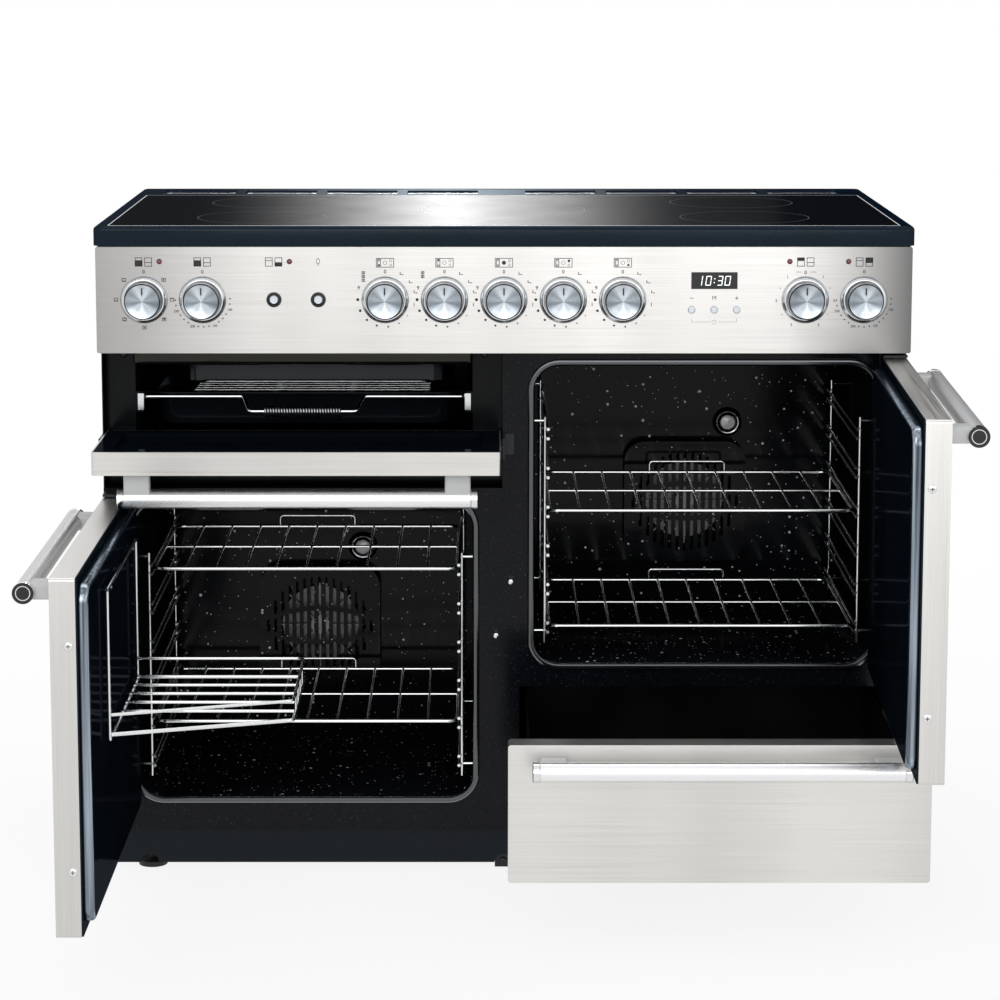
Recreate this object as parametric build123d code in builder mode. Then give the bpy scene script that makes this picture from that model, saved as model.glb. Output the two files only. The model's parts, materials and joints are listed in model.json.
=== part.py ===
from build123d import *
from math import cos, hypot, pi, sin
import os

# Induction range cooker with two side-hung ovens, a drop-door grill and a storage drawer.
# Sizes are in millimetres. X runs to the right, -Y to the front and +Z up. The origin is on
# the floor under the middle of the hob. Doors and drawer are drawn shut and then opened.

# Overall sizes
overall_height = 905
hob_width = 1092
hob_depth = 608
hob_thickness = 26
body_width = 1088
sheet = 1.5

# Front layout
face_inset = 4
back_inset = 4
base_height = 64
skirt = 22
fascia_gap = 1.5
fascia_height = 142.5
door_gap = 9
centre_gap = 8
door_margin = 4
oven_door_height = 441
grill_door_height = 180

# Doors and drawer front
skin_depth = 31
skin_sheet = 2
skin_corner = 4
liner_depth = 14
liner_inset = 12
liner_corner = 22
liner_edge = 6
frame_gap = 5
frame_sheet = 2
hinge_setback = 16
pin_radius = 4
pin_clearance = 0.15
pin_reach = 12
grill_pivot_rise = 58

# Open positions shown at rest
left_door_open = 90
right_door_open = 88
grill_door_open = 90
drawer_pull = 290

# Handles
handle_length = 457
handle_radius = 12.5
handle_reach = 48
handle_drop = 25
cap_length = 9
cap_radius = 13
cap_disc_radius = 8
cap_disc_recess = 1.5
cap_chamfer = 0.5
post_width = 34
post_height = 20
post_corner = 4
post_offset = 211

# Hob
hob_corner = 14
hob_edge = 6
hob_wall = 2
deck_thickness = 9
glass_width = 1058
glass_depth = 476
glass_thickness = 5
glass_corner = 6
glass_bevel = 1
glass_ledge = 10
glass_front_margin = 12
glass_clearance = 0.5
vent_width = 106
vent_depth = 55
vent_pitch = 121
vent_centre_gap = 177
vents_per_side = 4
vent_rear_margin = 39
vent_recess = 3
vent_slot = 7
vent_slot_pitch = 13
vent_slots = 4
coil_radius = 88
large_coil_radius = 115
coil_eye = 22
coil_height = 8
coil_x = 330
coil_y = 115
board_width = 300
board_depth = 220
board_height = 24

# Control panel
fascia_margin = 1
fascia_edge = 3
dial_drop = 70.5
hob_knob_pitch = 79
oven_knob_edge = 64
oven_knob_pitch = 78
knob_radius = 24
knob_length = 26
knob_gap = 1
knob_dish = 1.2
knob_chamfer = 1.5
pointer_start = 6.5
pointer_width = 1.6
pointer_length = 11
pointer_depth = 0.8
ring_radius = 31.5
ring_height = 7
ring_lip = 2
ring_clearance = 1.5
spindle_radius = 3
spindle_reach = 16
spindle_clearance = 0.15
spindle_hole = 5
switch_size = 36
switch_depth = 26
button_radius = 5.7
button_reach = 4
button_travel = 3
button_clearance = 0.3
button_chamfer = 0.7
collar_radius = 10
collar_height = 3
drawer_button_x = -306
light_button_x = -247
clock_x = 280
clock_drop = 45
clock_width = 61
clock_height = 22
clock_rise = 0.8
clock_body_margin = 4
clock_body_depth = 18
clock_button_radius = 4.8
clock_button_pitch = 30
clock_button_drop = 84
clock_button_reach = 1.6
clock_button_travel = 1.2
flange_rim = 1.5
stem_length = 6
lamp_radius = 3.4
lamp_drop = 19.5
lamp_offset = 21
lamp_dome = 2

# Ovens
cavity_width = 460
cavity_height = 412
cavity_depth = 400
cavity_corner = 34
cavity_flange = 14
seal_width = 9
seal_clearance = 0.5
lamp_cover_gap = 6
cover_size = 180
cover_corner = 30
cover_depth = 26
cover_margin = 12
cover_slot = 5
cover_slot_pitch = 11
cover_rows = 3
cover_bridge = 7
fan_clearance = 14.75
fan_length = 14
fan_hub = 14
fan_blades = 8
blade_thickness = 1.5
shaft_radius = 4
shaft_clearance = 0.15
shaft_hole = 9
motor_radius = 35
motor_length = 58
fan_gap = 4
element_radius = 3.25
element_clearance = 3.25
element_bend = 16
element_inset = 45
element_margin = 68
element_drop = 16
bulb_radius = 20
bulb_rise = 9
bulb_offset = 64
bulb_socket_radius = 16
bulb_socket_depth = 30

# Shelves and the ladders that carry them
shelf_width = 424
shelf_depth = 300
shelf_wire = 3
shelf_rod = 1.8
shelf_rods = 9
shelf_corner = 14
shelf_front_inset = 33
shelf_stop_rise = 16
shelf_stop_bend = 5
shelf_stop_width = 110
rung_radius = 2.2
rung_pair = 13
rung_levels = 6
rung_first = 38
rung_pitch = 54
post_radius = 2.5
weld = 0.3
seat_gap = 0.3
ladder_front_inset = 26
ladder_rear_inset = 32
ladder_end = 16
ladder_foot = 5
rung_end = 8

# Grill
grill_width = 460
grill_height = 145
grill_depth = 350
grill_corner = 12
grill_floor_rise = 32
sweep_clearance = 8
rail_height = 28
rail_width = 9
rail_sheet = 2
slide_clearance = 0.6
slide_width = 6
carriage_wire = 3
carriage_drop = 20
carriage_bend = 6
pan_overlap = 5
pan_depth = 330
pan_height = 44
pan_sheet = 1.5
pan_rim = 14
pan_corner = 34
pan_taper = 8
pan_seat = 0.3
pan_air = 5
grip_length = 104
grip_coil_radius = 7
grip_wire = 1.2
grip_turns = 28
grip_drop = 16
grip_forward = 30
trivet_width = 340
trivet_depth = 250
trivet_frame = 2.5
trivet_rod = 1.8
trivet_rods = 11
trivet_corner = 16
trivet_leg = 16

# Drawer
drawer_opening = 500
drawer_opening_height = 166
drawer_opening_rise = 4
drawer_box_height = 138
drawer_box_depth = 430
drawer_box_rise = 14
drawer_rail_length = 420
drawer_rail_rise = 70
drawer_slide_length = 400
drawer_housing_depth = 440

# Door roasting rack
rack_wire = 2.5
rack_rod = 2
rack_near = 66
rack_far = 372
rack_depth = 228
rack_taper = 70
rack_floor = 205
rack_height = 190
rack_rim = 25
rack_bend = 10
rack_standoff = 5
rack_rods = 4
stud_radius = 3
stud_inset = 34

# Plinth, feet, hinges, back
plinth_setback = 10
plinth_floor_gap = 13
plinth_return = 14
plinth_notch = 12
foot_radius = 20
foot_pad = 9
foot_chamfer = 2
foot_stud = 5
foot_nut = 9
foot_nut_height = 8
foot_inset_x = 54
foot_inset_y = 46
hinge_plate = 3
hinge_air = 2
hinge_half = 16
hinge_front = 10
hinge_foot = 24
arm_half = 14
arm_thickness = 2.8
post_half = 1.5
catch_radius = 4
catch_reach = 12
left_catch_z = 340
right_catch_z = 415
louvre_length = 90
louvre_height = 6
louvre_pitch = 20
louvre_rows = 8
louvre_columns = 4
louvre_column_pitch = 240
louvre_middle_z = 700
inlet_x = 400
inlet_z = 150
inlet_radius = 14
inlet_boss = 22
inlet_rise = 5
back_flange = 14

# Places worked out from the sizes
body_half = body_width / 2
face_y = -hob_depth / 2 + face_inset
skin_back_y = face_y + skin_depth
liner_y = skin_back_y + liner_depth
frame_y = liner_y + frame_gap
frame_back_y = frame_y + frame_sheet
back_y = hob_depth / 2 - back_inset
deck_z = overall_height - hob_thickness
fascia_top = deck_z - fascia_gap
fascia_bottom = fascia_top - fascia_height
doors_top = fascia_bottom - door_gap
grill_door_bottom = doors_top - grill_door_height
left_door_top = grill_door_bottom - door_gap
left_door_bottom = left_door_top - oven_door_height
right_door_bottom = doors_top - oven_door_height
drawer_top = right_door_bottom - door_gap
drawer_bottom = left_door_bottom
door_width = body_half - door_margin - centre_gap / 2
column_x = centre_gap / 2 + door_width / 2
hinge_x = body_half - door_margin - hinge_setback
hinge_y = face_y + hinge_setback
grill_pivot_z = grill_door_bottom + grill_pivot_rise
left_oven_z = left_door_bottom + oven_door_height / 2
right_oven_z = right_door_bottom + oven_door_height / 2
cavity_back_y = frame_back_y + cavity_depth
plinth_y = frame_y + plinth_setback
dial_z = fascia_top - dial_drop
fan_drop = cover_size / 2 + bulb_radius + lamp_cover_gap - bulb_offset
cover_screen = cover_size / 2 - cover_margin
element_ring = cover_size / 2 - sheet - element_clearance - element_radius
fan_radius = element_ring - element_radius - fan_clearance
grill_recess_bottom = grill_door_bottom - hinge_plate
grill_reach = hypot(grill_pivot_rise, skin_depth - hinge_setback)
grill_flange_y = hinge_y + grill_reach + sweep_clearance
grill_floor_z = grill_recess_bottom + grill_floor_rise
grill_wall = grill_width / 2
pan_floor_z = grill_pivot_z + skin_depth - hinge_setback + pan_air
pan_rim_z = pan_floor_z + pan_height
slide_top = pan_rim_z - pan_seat
rail_z = slide_top + slide_clearance + rail_sheet - rail_height / 2

os.makedirs("parts", exist_ok=True)


def front(y):
    """Sketch plane at depth y that faces the front, with world X and Z as its axes."""
    return Plane.XZ.offset(-y)


def span(a, b):
    return (min(a, b), max(a, b))


def block(x, y, z, mode=Mode.ADD):
    """Adds to, or cuts from, the part being built the box between the given limits."""
    with Locations(((x[0] + x[1]) / 2, (y[0] + y[1]) / 2, (z[0] + z[1]) / 2)):
        Box(x[1] - x[0], y[1] - y[0], z[1] - z[0], mode=mode)


def rod(start, end, radius, mode=Mode.ADD):
    """Adds a straight round bar to the part being built."""
    run = Vector(*end) - Vector(*start)
    with BuildSketch(Plane(origin=start, z_dir=run.normalized())) as section:
        Circle(radius)
    extrude(section.sketch, amount=run.length, mode=mode)


def bent_rod(points, bend, radius, close=False):
    """Adds a bent round bar that follows the points to the part being built."""
    with BuildLine() as path:
        FilletPolyline(*points, radius=bend, close=close)
    with BuildSketch(Plane(origin=path.line @ 0, z_dir=path.line % 0)) as section:
        Circle(radius)
    sweep(section.sketch, path=path.line)


def dome(x, y, radius, rise):
    """Adds to the line being drawn the arc of a dome from its rim to its tip on the axis at x."""
    sphere = (radius ** 2 + rise ** 2) / (2 * rise)
    middle_rise = (sphere ** 2 - radius ** 2 / 4) ** 0.5 - sphere + rise
    ThreePointArc((x + radius, y), (x + radius / 2, y - middle_rise), (x, y - rise))


def save(shape, name):
    shape.label = name
    export_step(shape, f"parts/{name}.step")


def save_group(shapes, name):
    """Writes several separate solids as one named node."""
    save(Compound([solid for shape in shapes for solid in shape.solids()]), name)


left_hinge = Axis((-hinge_x, hinge_y, 0), (0, 0, 1))
right_hinge = Axis((hinge_x, hinge_y, 0), (0, 0, 1))
grill_hinge = Axis((0, hinge_y, grill_pivot_z), (1, 0, 0))


def open_left(shape):
    return shape.rotate(left_hinge, -left_door_open)


def open_right(shape):
    return shape.rotate(right_hinge, right_door_open)


def open_grill(shape):
    return shape.rotate(grill_hinge, grill_door_open)


def open_drawer(shape):
    return shape.translate((0, -drawer_pull, 0))


# Folded side panels with a rear flange
with BuildPart() as side_panels:
    for side in (-1, 1):
        outer = side * body_half
        panel_z = (base_height - skirt, deck_z)
        block(span(outer, outer - side * sheet), (frame_back_y, back_y), panel_z)
        block(span(outer, outer - side * back_flange), (back_y - sheet, back_y), panel_z)
save(side_panels.part, "side_panels")

# Back panel with louvres and the mains cable inlet
with BuildPart() as back_panel:
    back_plate_y = back_y - sheet
    block((sheet - body_half, body_half - sheet), (back_plate_y - sheet, back_plate_y), (base_height, deck_z))
    with BuildSketch(front(back_plate_y - sheet)):
        with Locations((0, louvre_middle_z)):
            with GridLocations(louvre_column_pitch, louvre_pitch, louvre_columns, louvre_rows):
                SlotOverall(louvre_length, louvre_height)
    extrude(amount=-sheet, mode=Mode.SUBTRACT)
    with BuildSketch(front(back_plate_y)):
        with Locations((inlet_x, inlet_z)):
            Circle(inlet_boss)
    extrude(amount=-inlet_rise)
    with BuildSketch(front(back_plate_y - sheet)):
        with Locations((inlet_x, inlet_z)):
            Circle(inlet_radius)
    extrude(amount=-(sheet + inlet_rise), mode=Mode.SUBTRACT)
save(back_panel.part, "back_panel")

# Base tray with turned-down lips
with BuildPart() as base_tray:
    tray_x = (sheet - body_half, body_half - sheet)
    tray_front = plinth_y + plinth_return
    block(tray_x, (tray_front, back_y - sheet), (base_height - sheet, base_height))
    block(tray_x, (tray_front, tray_front + sheet), (base_height - skirt, base_height))
    block(tray_x, (back_y - 2 * sheet, back_y - sheet), (base_height - skirt, base_height))
save(base_tray.part, "base_tray")

# Plinth folded from sheet, with access notches along its lower edge
with BuildPart() as plinth:
    plinth_half = body_half - door_margin
    plinth_top = base_height - sheet
    block((-plinth_half, plinth_half), (plinth_y, plinth_y + sheet), (plinth_floor_gap, plinth_top))
    for edge in (plinth_floor_gap, plinth_top - sheet):
        block((-plinth_half, plinth_half), (plinth_y, plinth_y + plinth_return), (edge, edge + sheet))
    with BuildSketch(front(plinth_y)):
        with Locations((-body_half + foot_inset_x, plinth_floor_gap), (0, plinth_floor_gap),
                       (body_half - foot_inset_x, plinth_floor_gap)):
            Circle(plinth_notch)
    extrude(amount=-plinth_return, mode=Mode.SUBTRACT)
save(plinth.part, "plinth")

# Levelling feet: pad, threaded stud and lock nut
with BuildPart() as levelling_feet:
    foot_top = base_height - sheet
    foot_x = body_half - foot_inset_x
    foot_y = (frame_back_y + foot_inset_y, back_y - foot_inset_y)
    foot_places = [(x, y) for x in (-foot_x, foot_x) for y in foot_y]
    with BuildSketch():
        with Locations(*foot_places):
            Circle(foot_radius)
    extrude(amount=foot_pad)
    chamfer(levelling_feet.faces().group_by(Axis.Z)[-1].edges(), foot_chamfer)
    with BuildSketch(Plane.XY.offset(foot_pad)):
        with Locations(*foot_places):
            Circle(foot_stud)
    extrude(amount=foot_top - foot_pad)
    with BuildSketch(Plane.XY.offset(foot_top - foot_nut_height)):
        with Locations(*foot_places):
            RegularPolygon(foot_nut, 6)
    extrude(amount=foot_nut_height)
save(levelling_feet.part, "levelling_feet")

# Front frame, one sheet cut out for the ovens, grill, drawer and controls
with BuildPart() as front_frame:
    frame_bottom = base_height - sheet
    frame_top = deck_z - 2 * sheet
    drawer_opening_z = drawer_bottom + drawer_opening_rise + drawer_opening_height / 2
    with BuildSketch(front(frame_y)):
        with Locations((0, (frame_bottom + frame_top) / 2)):
            Rectangle(body_width, frame_top - frame_bottom)
        with Locations((-column_x, left_oven_z), (column_x, right_oven_z)):
            RectangleRounded(cavity_width, cavity_height, cavity_corner, mode=Mode.SUBTRACT)
        with Locations((-body_half, grill_recess_bottom)):
            Rectangle(body_half - post_half, fascia_bottom - grill_recess_bottom,
                      align=(Align.MIN, Align.MIN), mode=Mode.SUBTRACT)
        with Locations((column_x, drawer_opening_z)):
            Rectangle(drawer_opening, drawer_opening_height, mode=Mode.SUBTRACT)
        with Locations((0, (fascia_bottom + fascia_top) / 2)):
            Rectangle(body_width - 2 * back_flange, fascia_height - 2 * back_flange, mode=Mode.SUBTRACT)
    extrude(amount=-frame_sheet)
save(front_frame.part, "front_frame")

# Hob surround: pressed deck with a rebate for the glass and a row of vents at the back
glass_y = -hob_depth / 2 + glass_front_margin + glass_depth / 2
vent_y = hob_depth / 2 - vent_rear_margin - vent_depth / 2
vent_offsets = [vent_centre_gap / 2 + i * vent_pitch for i in range(vents_per_side)]
vent_places = [(side * offset, vent_y) for side in (-1, 1) for offset in vent_offsets]
with BuildPart() as hob_surround:
    with BuildSketch(Plane.XY.offset(deck_z)):
        RectangleRounded(hob_width, hob_depth, hob_corner)
    extrude(amount=hob_thickness)
    fillet(hob_surround.faces().sort_by(Axis.Z)[-1].edges(), hob_edge)
    with BuildSketch(Plane.XY.offset(deck_z)):
        RectangleRounded(hob_width - 2 * hob_wall, hob_depth - 2 * hob_wall, hob_corner - hob_wall)
    extrude(amount=hob_thickness - deck_thickness, mode=Mode.SUBTRACT)
    with BuildSketch(Plane.XY.offset(overall_height)):
        with Locations((0, glass_y)):
            RectangleRounded(glass_width, glass_depth, glass_corner)
    extrude(amount=-glass_thickness, mode=Mode.SUBTRACT)
    with BuildSketch(Plane.XY.offset(overall_height)):
        with Locations((0, glass_y)):
            Rectangle(glass_width - 2 * glass_ledge, glass_depth - 2 * glass_ledge)
    extrude(amount=-deck_thickness, mode=Mode.SUBTRACT)
    with BuildSketch(Plane.XY.offset(overall_height)):
        with Locations(*vent_places):
            RectangleRounded(vent_width, vent_depth, vent_recess)
    extrude(amount=-vent_recess, mode=Mode.SUBTRACT)
    with BuildSketch(Plane.XY.offset(overall_height)):
        with Locations(*vent_places):
            with GridLocations(0, vent_slot_pitch, 1, vent_slots):
                SlotOverall(vent_width - 2 * vent_slot, vent_slot)
    extrude(amount=-deck_thickness, mode=Mode.SUBTRACT)
save(hob_surround.part, "hob_surround")

# Glass hob plate with a bevelled edge
with BuildPart() as hob_glass:
    glass_bottom = overall_height - glass_thickness
    with BuildSketch(Plane.XY.offset(glass_bottom)):
        with Locations((0, glass_y)):
            RectangleRounded(glass_width - 2 * glass_clearance, glass_depth - 2 * glass_clearance,
                             glass_corner)
    extrude(amount=glass_thickness)
    chamfer(hob_glass.faces().sort_by(Axis.Z)[-1].edges(), glass_bevel)
save(hob_glass.part, "hob_glass")

# Induction tray on the side panels, five coils up to the glass and two power boards below
coil_places = [(-coil_x, -coil_y), (-coil_x, coil_y), (coil_x, -coil_y), (coil_x, coil_y)]
coil_top = glass_bottom - seat_gap
with BuildPart() as coil_tray:
    block((-body_half, body_half), (frame_back_y, back_y - hob_corner), (deck_z, deck_z + sheet))
with BuildPart() as coils:
    with BuildSketch(Plane.XY.offset(coil_top - coil_height)):
        with Locations(*[(x, y + glass_y) for x, y in coil_places]):
            Circle(coil_radius)
            Circle(coil_eye, mode=Mode.SUBTRACT)
        with Locations((0, glass_y)):
            Circle(large_coil_radius)
            Circle(coil_eye, mode=Mode.SUBTRACT)
    extrude(amount=coil_height)
    with BuildSketch(Plane.XY.offset(deck_z + sheet)):
        with Locations((0, glass_y), *[(x, y + glass_y) for x, y in coil_places]):
            Circle(coil_eye + coil_height)
            Circle(coil_eye, mode=Mode.SUBTRACT)
    extrude(amount=coil_top - coil_height - deck_z - sheet)
with BuildPart() as boards:
    with BuildSketch(Plane.XY.offset(deck_z)):
        with Locations((-coil_x, 0), (coil_x, 0)):
            RectangleRounded(board_width, board_depth, coil_eye)
    extrude(amount=-board_height)
save_group([coil_tray.part, coils.part, boards.part], "induction_units")

# Control panel: a folded fascia that is open towards the frame
fascia_half = body_half - fascia_margin
oven_knobs_x = [fascia_half - oven_knob_edge, fascia_half - oven_knob_edge - oven_knob_pitch]
knobs = {
    "left_oven_function_knob": -oven_knobs_x[0],
    "left_oven_temperature_knob": -oven_knobs_x[1],
    "left_front_hob_knob": -2 * hob_knob_pitch,
    "left_rear_hob_knob": -hob_knob_pitch,
    "centre_hob_knob": 0,
    "right_rear_hob_knob": hob_knob_pitch,
    "right_front_hob_knob": 2 * hob_knob_pitch,
    "grill_knob": oven_knobs_x[1],
    "right_oven_knob": oven_knobs_x[0],
}
dial_places = [(x, dial_z) for x in knobs.values()]
button_places = {"drawer_button": (drawer_button_x, dial_z), "light_button": (light_button_x, dial_z)}
clock_z = fascia_top - clock_drop
clock_button_z = fascia_top - clock_button_drop
clock_buttons = {
    "clock_minus_button": (clock_x - clock_button_pitch, clock_button_z),
    "clock_mode_button": (clock_x, clock_button_z),
    "clock_plus_button": (clock_x + clock_button_pitch, clock_button_z),
}
lamp_z = fascia_top - lamp_drop
lamp_places = [(-oven_knobs_x[0] + lamp_offset, lamp_z), (drawer_button_x + lamp_offset, lamp_z),
               (oven_knobs_x[1] - lamp_offset, lamp_z), (oven_knobs_x[0] - lamp_offset, lamp_z)]
with BuildPart() as control_panel:
    fascia_z = (fascia_bottom + fascia_top) / 2
    with BuildSketch(front(face_y)):
        with Locations((0, fascia_z)):
            RectangleRounded(2 * fascia_half, fascia_height, fascia_edge)
    extrude(amount=-(frame_y - face_y))
    with BuildSketch(front(frame_y)):
        with Locations((0, fascia_z)):
            Rectangle(2 * (fascia_half - sheet), fascia_height - 2 * sheet)
    extrude(amount=frame_y - face_y - sheet, mode=Mode.SUBTRACT)
    with BuildSketch(front(face_y)):
        with Locations(*dial_places):
            Circle(spindle_hole)
        with Locations(*button_places.values()):
            Circle(button_radius + button_clearance)
        with Locations(*clock_buttons.values()):
            Circle(clock_button_radius + button_clearance)
        with Locations(*lamp_places):
            Circle(lamp_radius + button_clearance)
        with Locations((clock_x, clock_z)):
            Rectangle(clock_width + 2 * button_clearance, clock_height + 2 * button_clearance)
    extrude(amount=-sheet, mode=Mode.SUBTRACT)
save(control_panel.part, "control_panel")

# Raised rings round the dials and collars round the two push buttons
with BuildPart() as dial_rings:
    for x, z in dial_places:
        inner = knob_radius + ring_clearance
        with BuildSketch(Plane.XY.offset(z)):
            with BuildLine():
                Polyline((x + inner, face_y), (x + ring_radius, face_y), (x + ring_radius, face_y - ring_lip),
                         (x + inner + ring_lip, face_y - ring_height), (x + inner, face_y - ring_height),
                         close=True)
            make_face()
        revolve(axis=Axis((x, 0, z), (0, 1, 0)))
    with BuildSketch(front(face_y)):
        with Locations(*button_places.values()):
            Circle(collar_radius)
            Circle(button_radius + button_clearance, mode=Mode.SUBTRACT)
    extrude(amount=collar_height)
save(dial_rings.part, "dial_rings")

# Rotary switches behind the fascia with their spindles
with BuildPart() as rotary_switches:
    inside_y = face_y + sheet
    with BuildSketch(front(inside_y)):
        with Locations(*dial_places):
            RectangleRounded(switch_size, switch_size, spindle_hole)
    extrude(amount=-switch_depth)
    with BuildSketch(front(inside_y)):
        with Locations(*dial_places):
            Circle(spindle_radius)
    extrude(amount=sheet + spindle_reach)
save(rotary_switches.part, "rotary_switches")

# Knobs: dished face, chamfered rim, blind bore for the spindle and a pointer groove
for name, x in knobs.items():
    back = face_y - knob_gap
    tip = face_y - knob_length
    with BuildPart() as knob:
        with BuildSketch(Plane.XY.offset(dial_z)):
            with BuildLine():
                Polyline((x, back), (x + knob_radius, back), (x + knob_radius, tip + knob_chamfer),
                         (x + knob_radius - knob_chamfer, tip), (x + knob_radius - 2 * knob_chamfer, tip),
                         (x, tip + knob_dish), close=True)
            make_face()
        revolve(axis=Axis((x, 0, dial_z), (0, 1, 0)))
        with BuildSketch(front(back)):
            with Locations((x, dial_z)):
                Circle(spindle_radius + spindle_clearance)
        extrude(amount=spindle_reach - knob_gap + seat_gap, mode=Mode.SUBTRACT)
        with BuildSketch(front(tip)):
            with Locations((x, dial_z + pointer_start)):
                Rectangle(pointer_width, pointer_length, align=(Align.CENTER, Align.MIN))
        extrude(amount=-(pointer_depth + knob_dish), mode=Mode.SUBTRACT)
    save(knob.part, name)


def push_button(name, place, radius, reach, travel):
    """A round button through the fascia with a flange behind it and room to travel."""
    with BuildPart() as button:
        with BuildSketch(front(face_y - reach)):
            with Locations(place):
                Circle(radius)
        extrude(amount=-(reach + sheet + travel))
        chamfer(button.faces().sort_by(Axis.Y)[0].edges(), button_chamfer)
        with BuildSketch(front(face_y + sheet)):
            with Locations(place):
                Circle(radius + flange_rim)
        extrude(amount=-stem_length)
    save(button.part, name)


for name, place in button_places.items():
    push_button(name, place, button_radius, button_reach, button_travel)
for name, place in clock_buttons.items():
    push_button(name, place, clock_button_radius, clock_button_reach, clock_button_travel)

# Clock display: a lens in the fascia window and its body behind
with BuildPart() as clock_display:
    with BuildSketch(front(face_y - clock_rise)):
        with Locations((clock_x, clock_z)):
            Rectangle(clock_width, clock_height)
    extrude(amount=-(clock_rise + sheet))
    with BuildSketch(front(face_y + sheet)):
        with Locations((clock_x, clock_z)):
            Rectangle(clock_width + 2 * clock_body_margin, clock_height + 2 * clock_body_margin)
    extrude(amount=-clock_body_depth)
save(clock_display.part, "clock_display")

# Indicator lamps: domed lenses with a flange behind the fascia
with BuildPart() as indicator_lamps:
    for x, z in lamp_places:
        with BuildSketch(Plane.XY.offset(z)):
            with BuildLine():
                flange_x = x + lamp_radius + flange_rim
                flange_y = face_y + sheet
                Line((x, face_y - lamp_dome), (x, flange_y + stem_length))
                Polyline((x, flange_y + stem_length), (flange_x, flange_y + stem_length), (flange_x, flange_y),
                         (x + lamp_radius, flange_y), (x + lamp_radius, face_y))
                dome(x, face_y, lamp_radius, lamp_dome)
            make_face()
        revolve(axis=Axis((x, 0, z), (0, 1, 0)))
save(indicator_lamps.part, "indicator_lamps")


def oven_cavity(name, x, z):
    """Enamelled oven liner, open at the front, with holes for the fan shaft and the lamp."""
    with BuildPart() as cavity:
        with BuildSketch(front(frame_back_y)):
            with Locations((x, z)):
                RectangleRounded(cavity_width + 2 * cavity_flange, cavity_height + 2 * cavity_flange,
                                 cavity_corner + cavity_flange)
        extrude(amount=-sheet)
        with BuildSketch(front(frame_back_y)):
            with Locations((x, z)):
                RectangleRounded(cavity_width + 2 * sheet, cavity_height + 2 * sheet, cavity_corner + sheet)
        extrude(amount=-(cavity_depth + sheet))
        with BuildSketch(front(frame_back_y)):
            with Locations((x, z)):
                RectangleRounded(cavity_width, cavity_height, cavity_corner)
        extrude(amount=-cavity_depth, mode=Mode.SUBTRACT)
        with BuildSketch(front(cavity_back_y)):
            with Locations((x, z - fan_drop)):
                Circle(shaft_hole)
            with Locations((x + bulb_offset, z + bulb_offset)):
                Circle(bulb_socket_radius + button_clearance)
        extrude(amount=-sheet, mode=Mode.SUBTRACT)
    save(cavity.part, name)


ovens = {"left": (-column_x, left_oven_z), "right": (column_x, right_oven_z)}
for side, (x, z) in ovens.items():
    oven_cavity(f"{side}_oven_cavity", x, z)

# Fan covers with a round field of upright slots, and the motors behind the ovens
fan_units = []
for x, z in ovens.values():
    centre_z = z - fan_drop
    with BuildPart() as fan_cover:
        with BuildSketch(front(cavity_back_y)):
            with Locations((x, centre_z)):
                RectangleRounded(cover_size, cover_size, cover_corner)
        extrude(amount=cover_depth)
        with BuildSketch(front(cavity_back_y)):
            with Locations((x, centre_z)):
                RectangleRounded(cover_size - 2 * sheet, cover_size - 2 * sheet, cover_corner - sheet)
        extrude(amount=cover_depth - sheet, mode=Mode.SUBTRACT)
        columns = int(cover_screen / cover_slot_pitch)
        with BuildSketch(front(cavity_back_y - cover_depth)):
            for column in range(-columns, columns + 1):
                offset = column * cover_slot_pitch
                chord = 2 * (cover_screen ** 2 - offset ** 2) ** 0.5
                rows = min(cover_rows, int(chord / (2 * cover_bridge)))
                pitch = chord / max(rows, 1)
                with Locations((x + offset, centre_z)):
                    with GridLocations(0, pitch, 1, max(rows, 1)):
                        Rectangle(cover_slot, pitch - cover_bridge)
        extrude(amount=-sheet, mode=Mode.SUBTRACT)
    fan_front = cavity_back_y - cover_depth + sheet + fan_gap
    motor_y = cavity_back_y + sheet
    with BuildPart() as motor:
        with BuildSketch(front(motor_y)):
            with Locations((x, centre_z)):
                Circle(motor_radius)
        extrude(amount=-motor_length)
        with BuildSketch(front(motor_y)):
            with Locations((x, centre_z)):
                Circle(shaft_radius)
        extrude(amount=motor_y - fan_front - sheet)
    fan_units += [fan_cover.part, motor.part]
save_group(fan_units, "oven_fan_units")

# Fan wheels: a hub on the motor shaft, a back disc and radial blades
for side, (x, z) in ovens.items():
    centre_z = z - fan_drop
    fan_front = cavity_back_y - cover_depth + sheet + fan_gap
    with BuildPart() as fan:
        with BuildSketch(front(fan_front + fan_length)):
            with Locations((x, centre_z)):
                Circle(fan_radius - fan_hub / 2)
        extrude(amount=blade_thickness)
        with BuildSketch(front(fan_front + fan_length)):
            with Locations((x, centre_z)):
                Circle(fan_hub)
        extrude(amount=fan_length)
        with BuildSketch(front(fan_front + fan_length)):
            with Locations((x, centre_z)):
                with PolarLocations((fan_hub + fan_radius) / 2, fan_blades):
                    Rectangle(fan_radius - fan_hub + weld, blade_thickness)
        extrude(amount=fan_length)
        with BuildSketch(front(fan_front + fan_length)):
            with Locations((x, centre_z)):
                Circle(shaft_radius + shaft_clearance)
        extrude(amount=fan_length - sheet, mode=Mode.SUBTRACT)
    save(fan.part, f"{side}_oven_fan")

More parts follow.
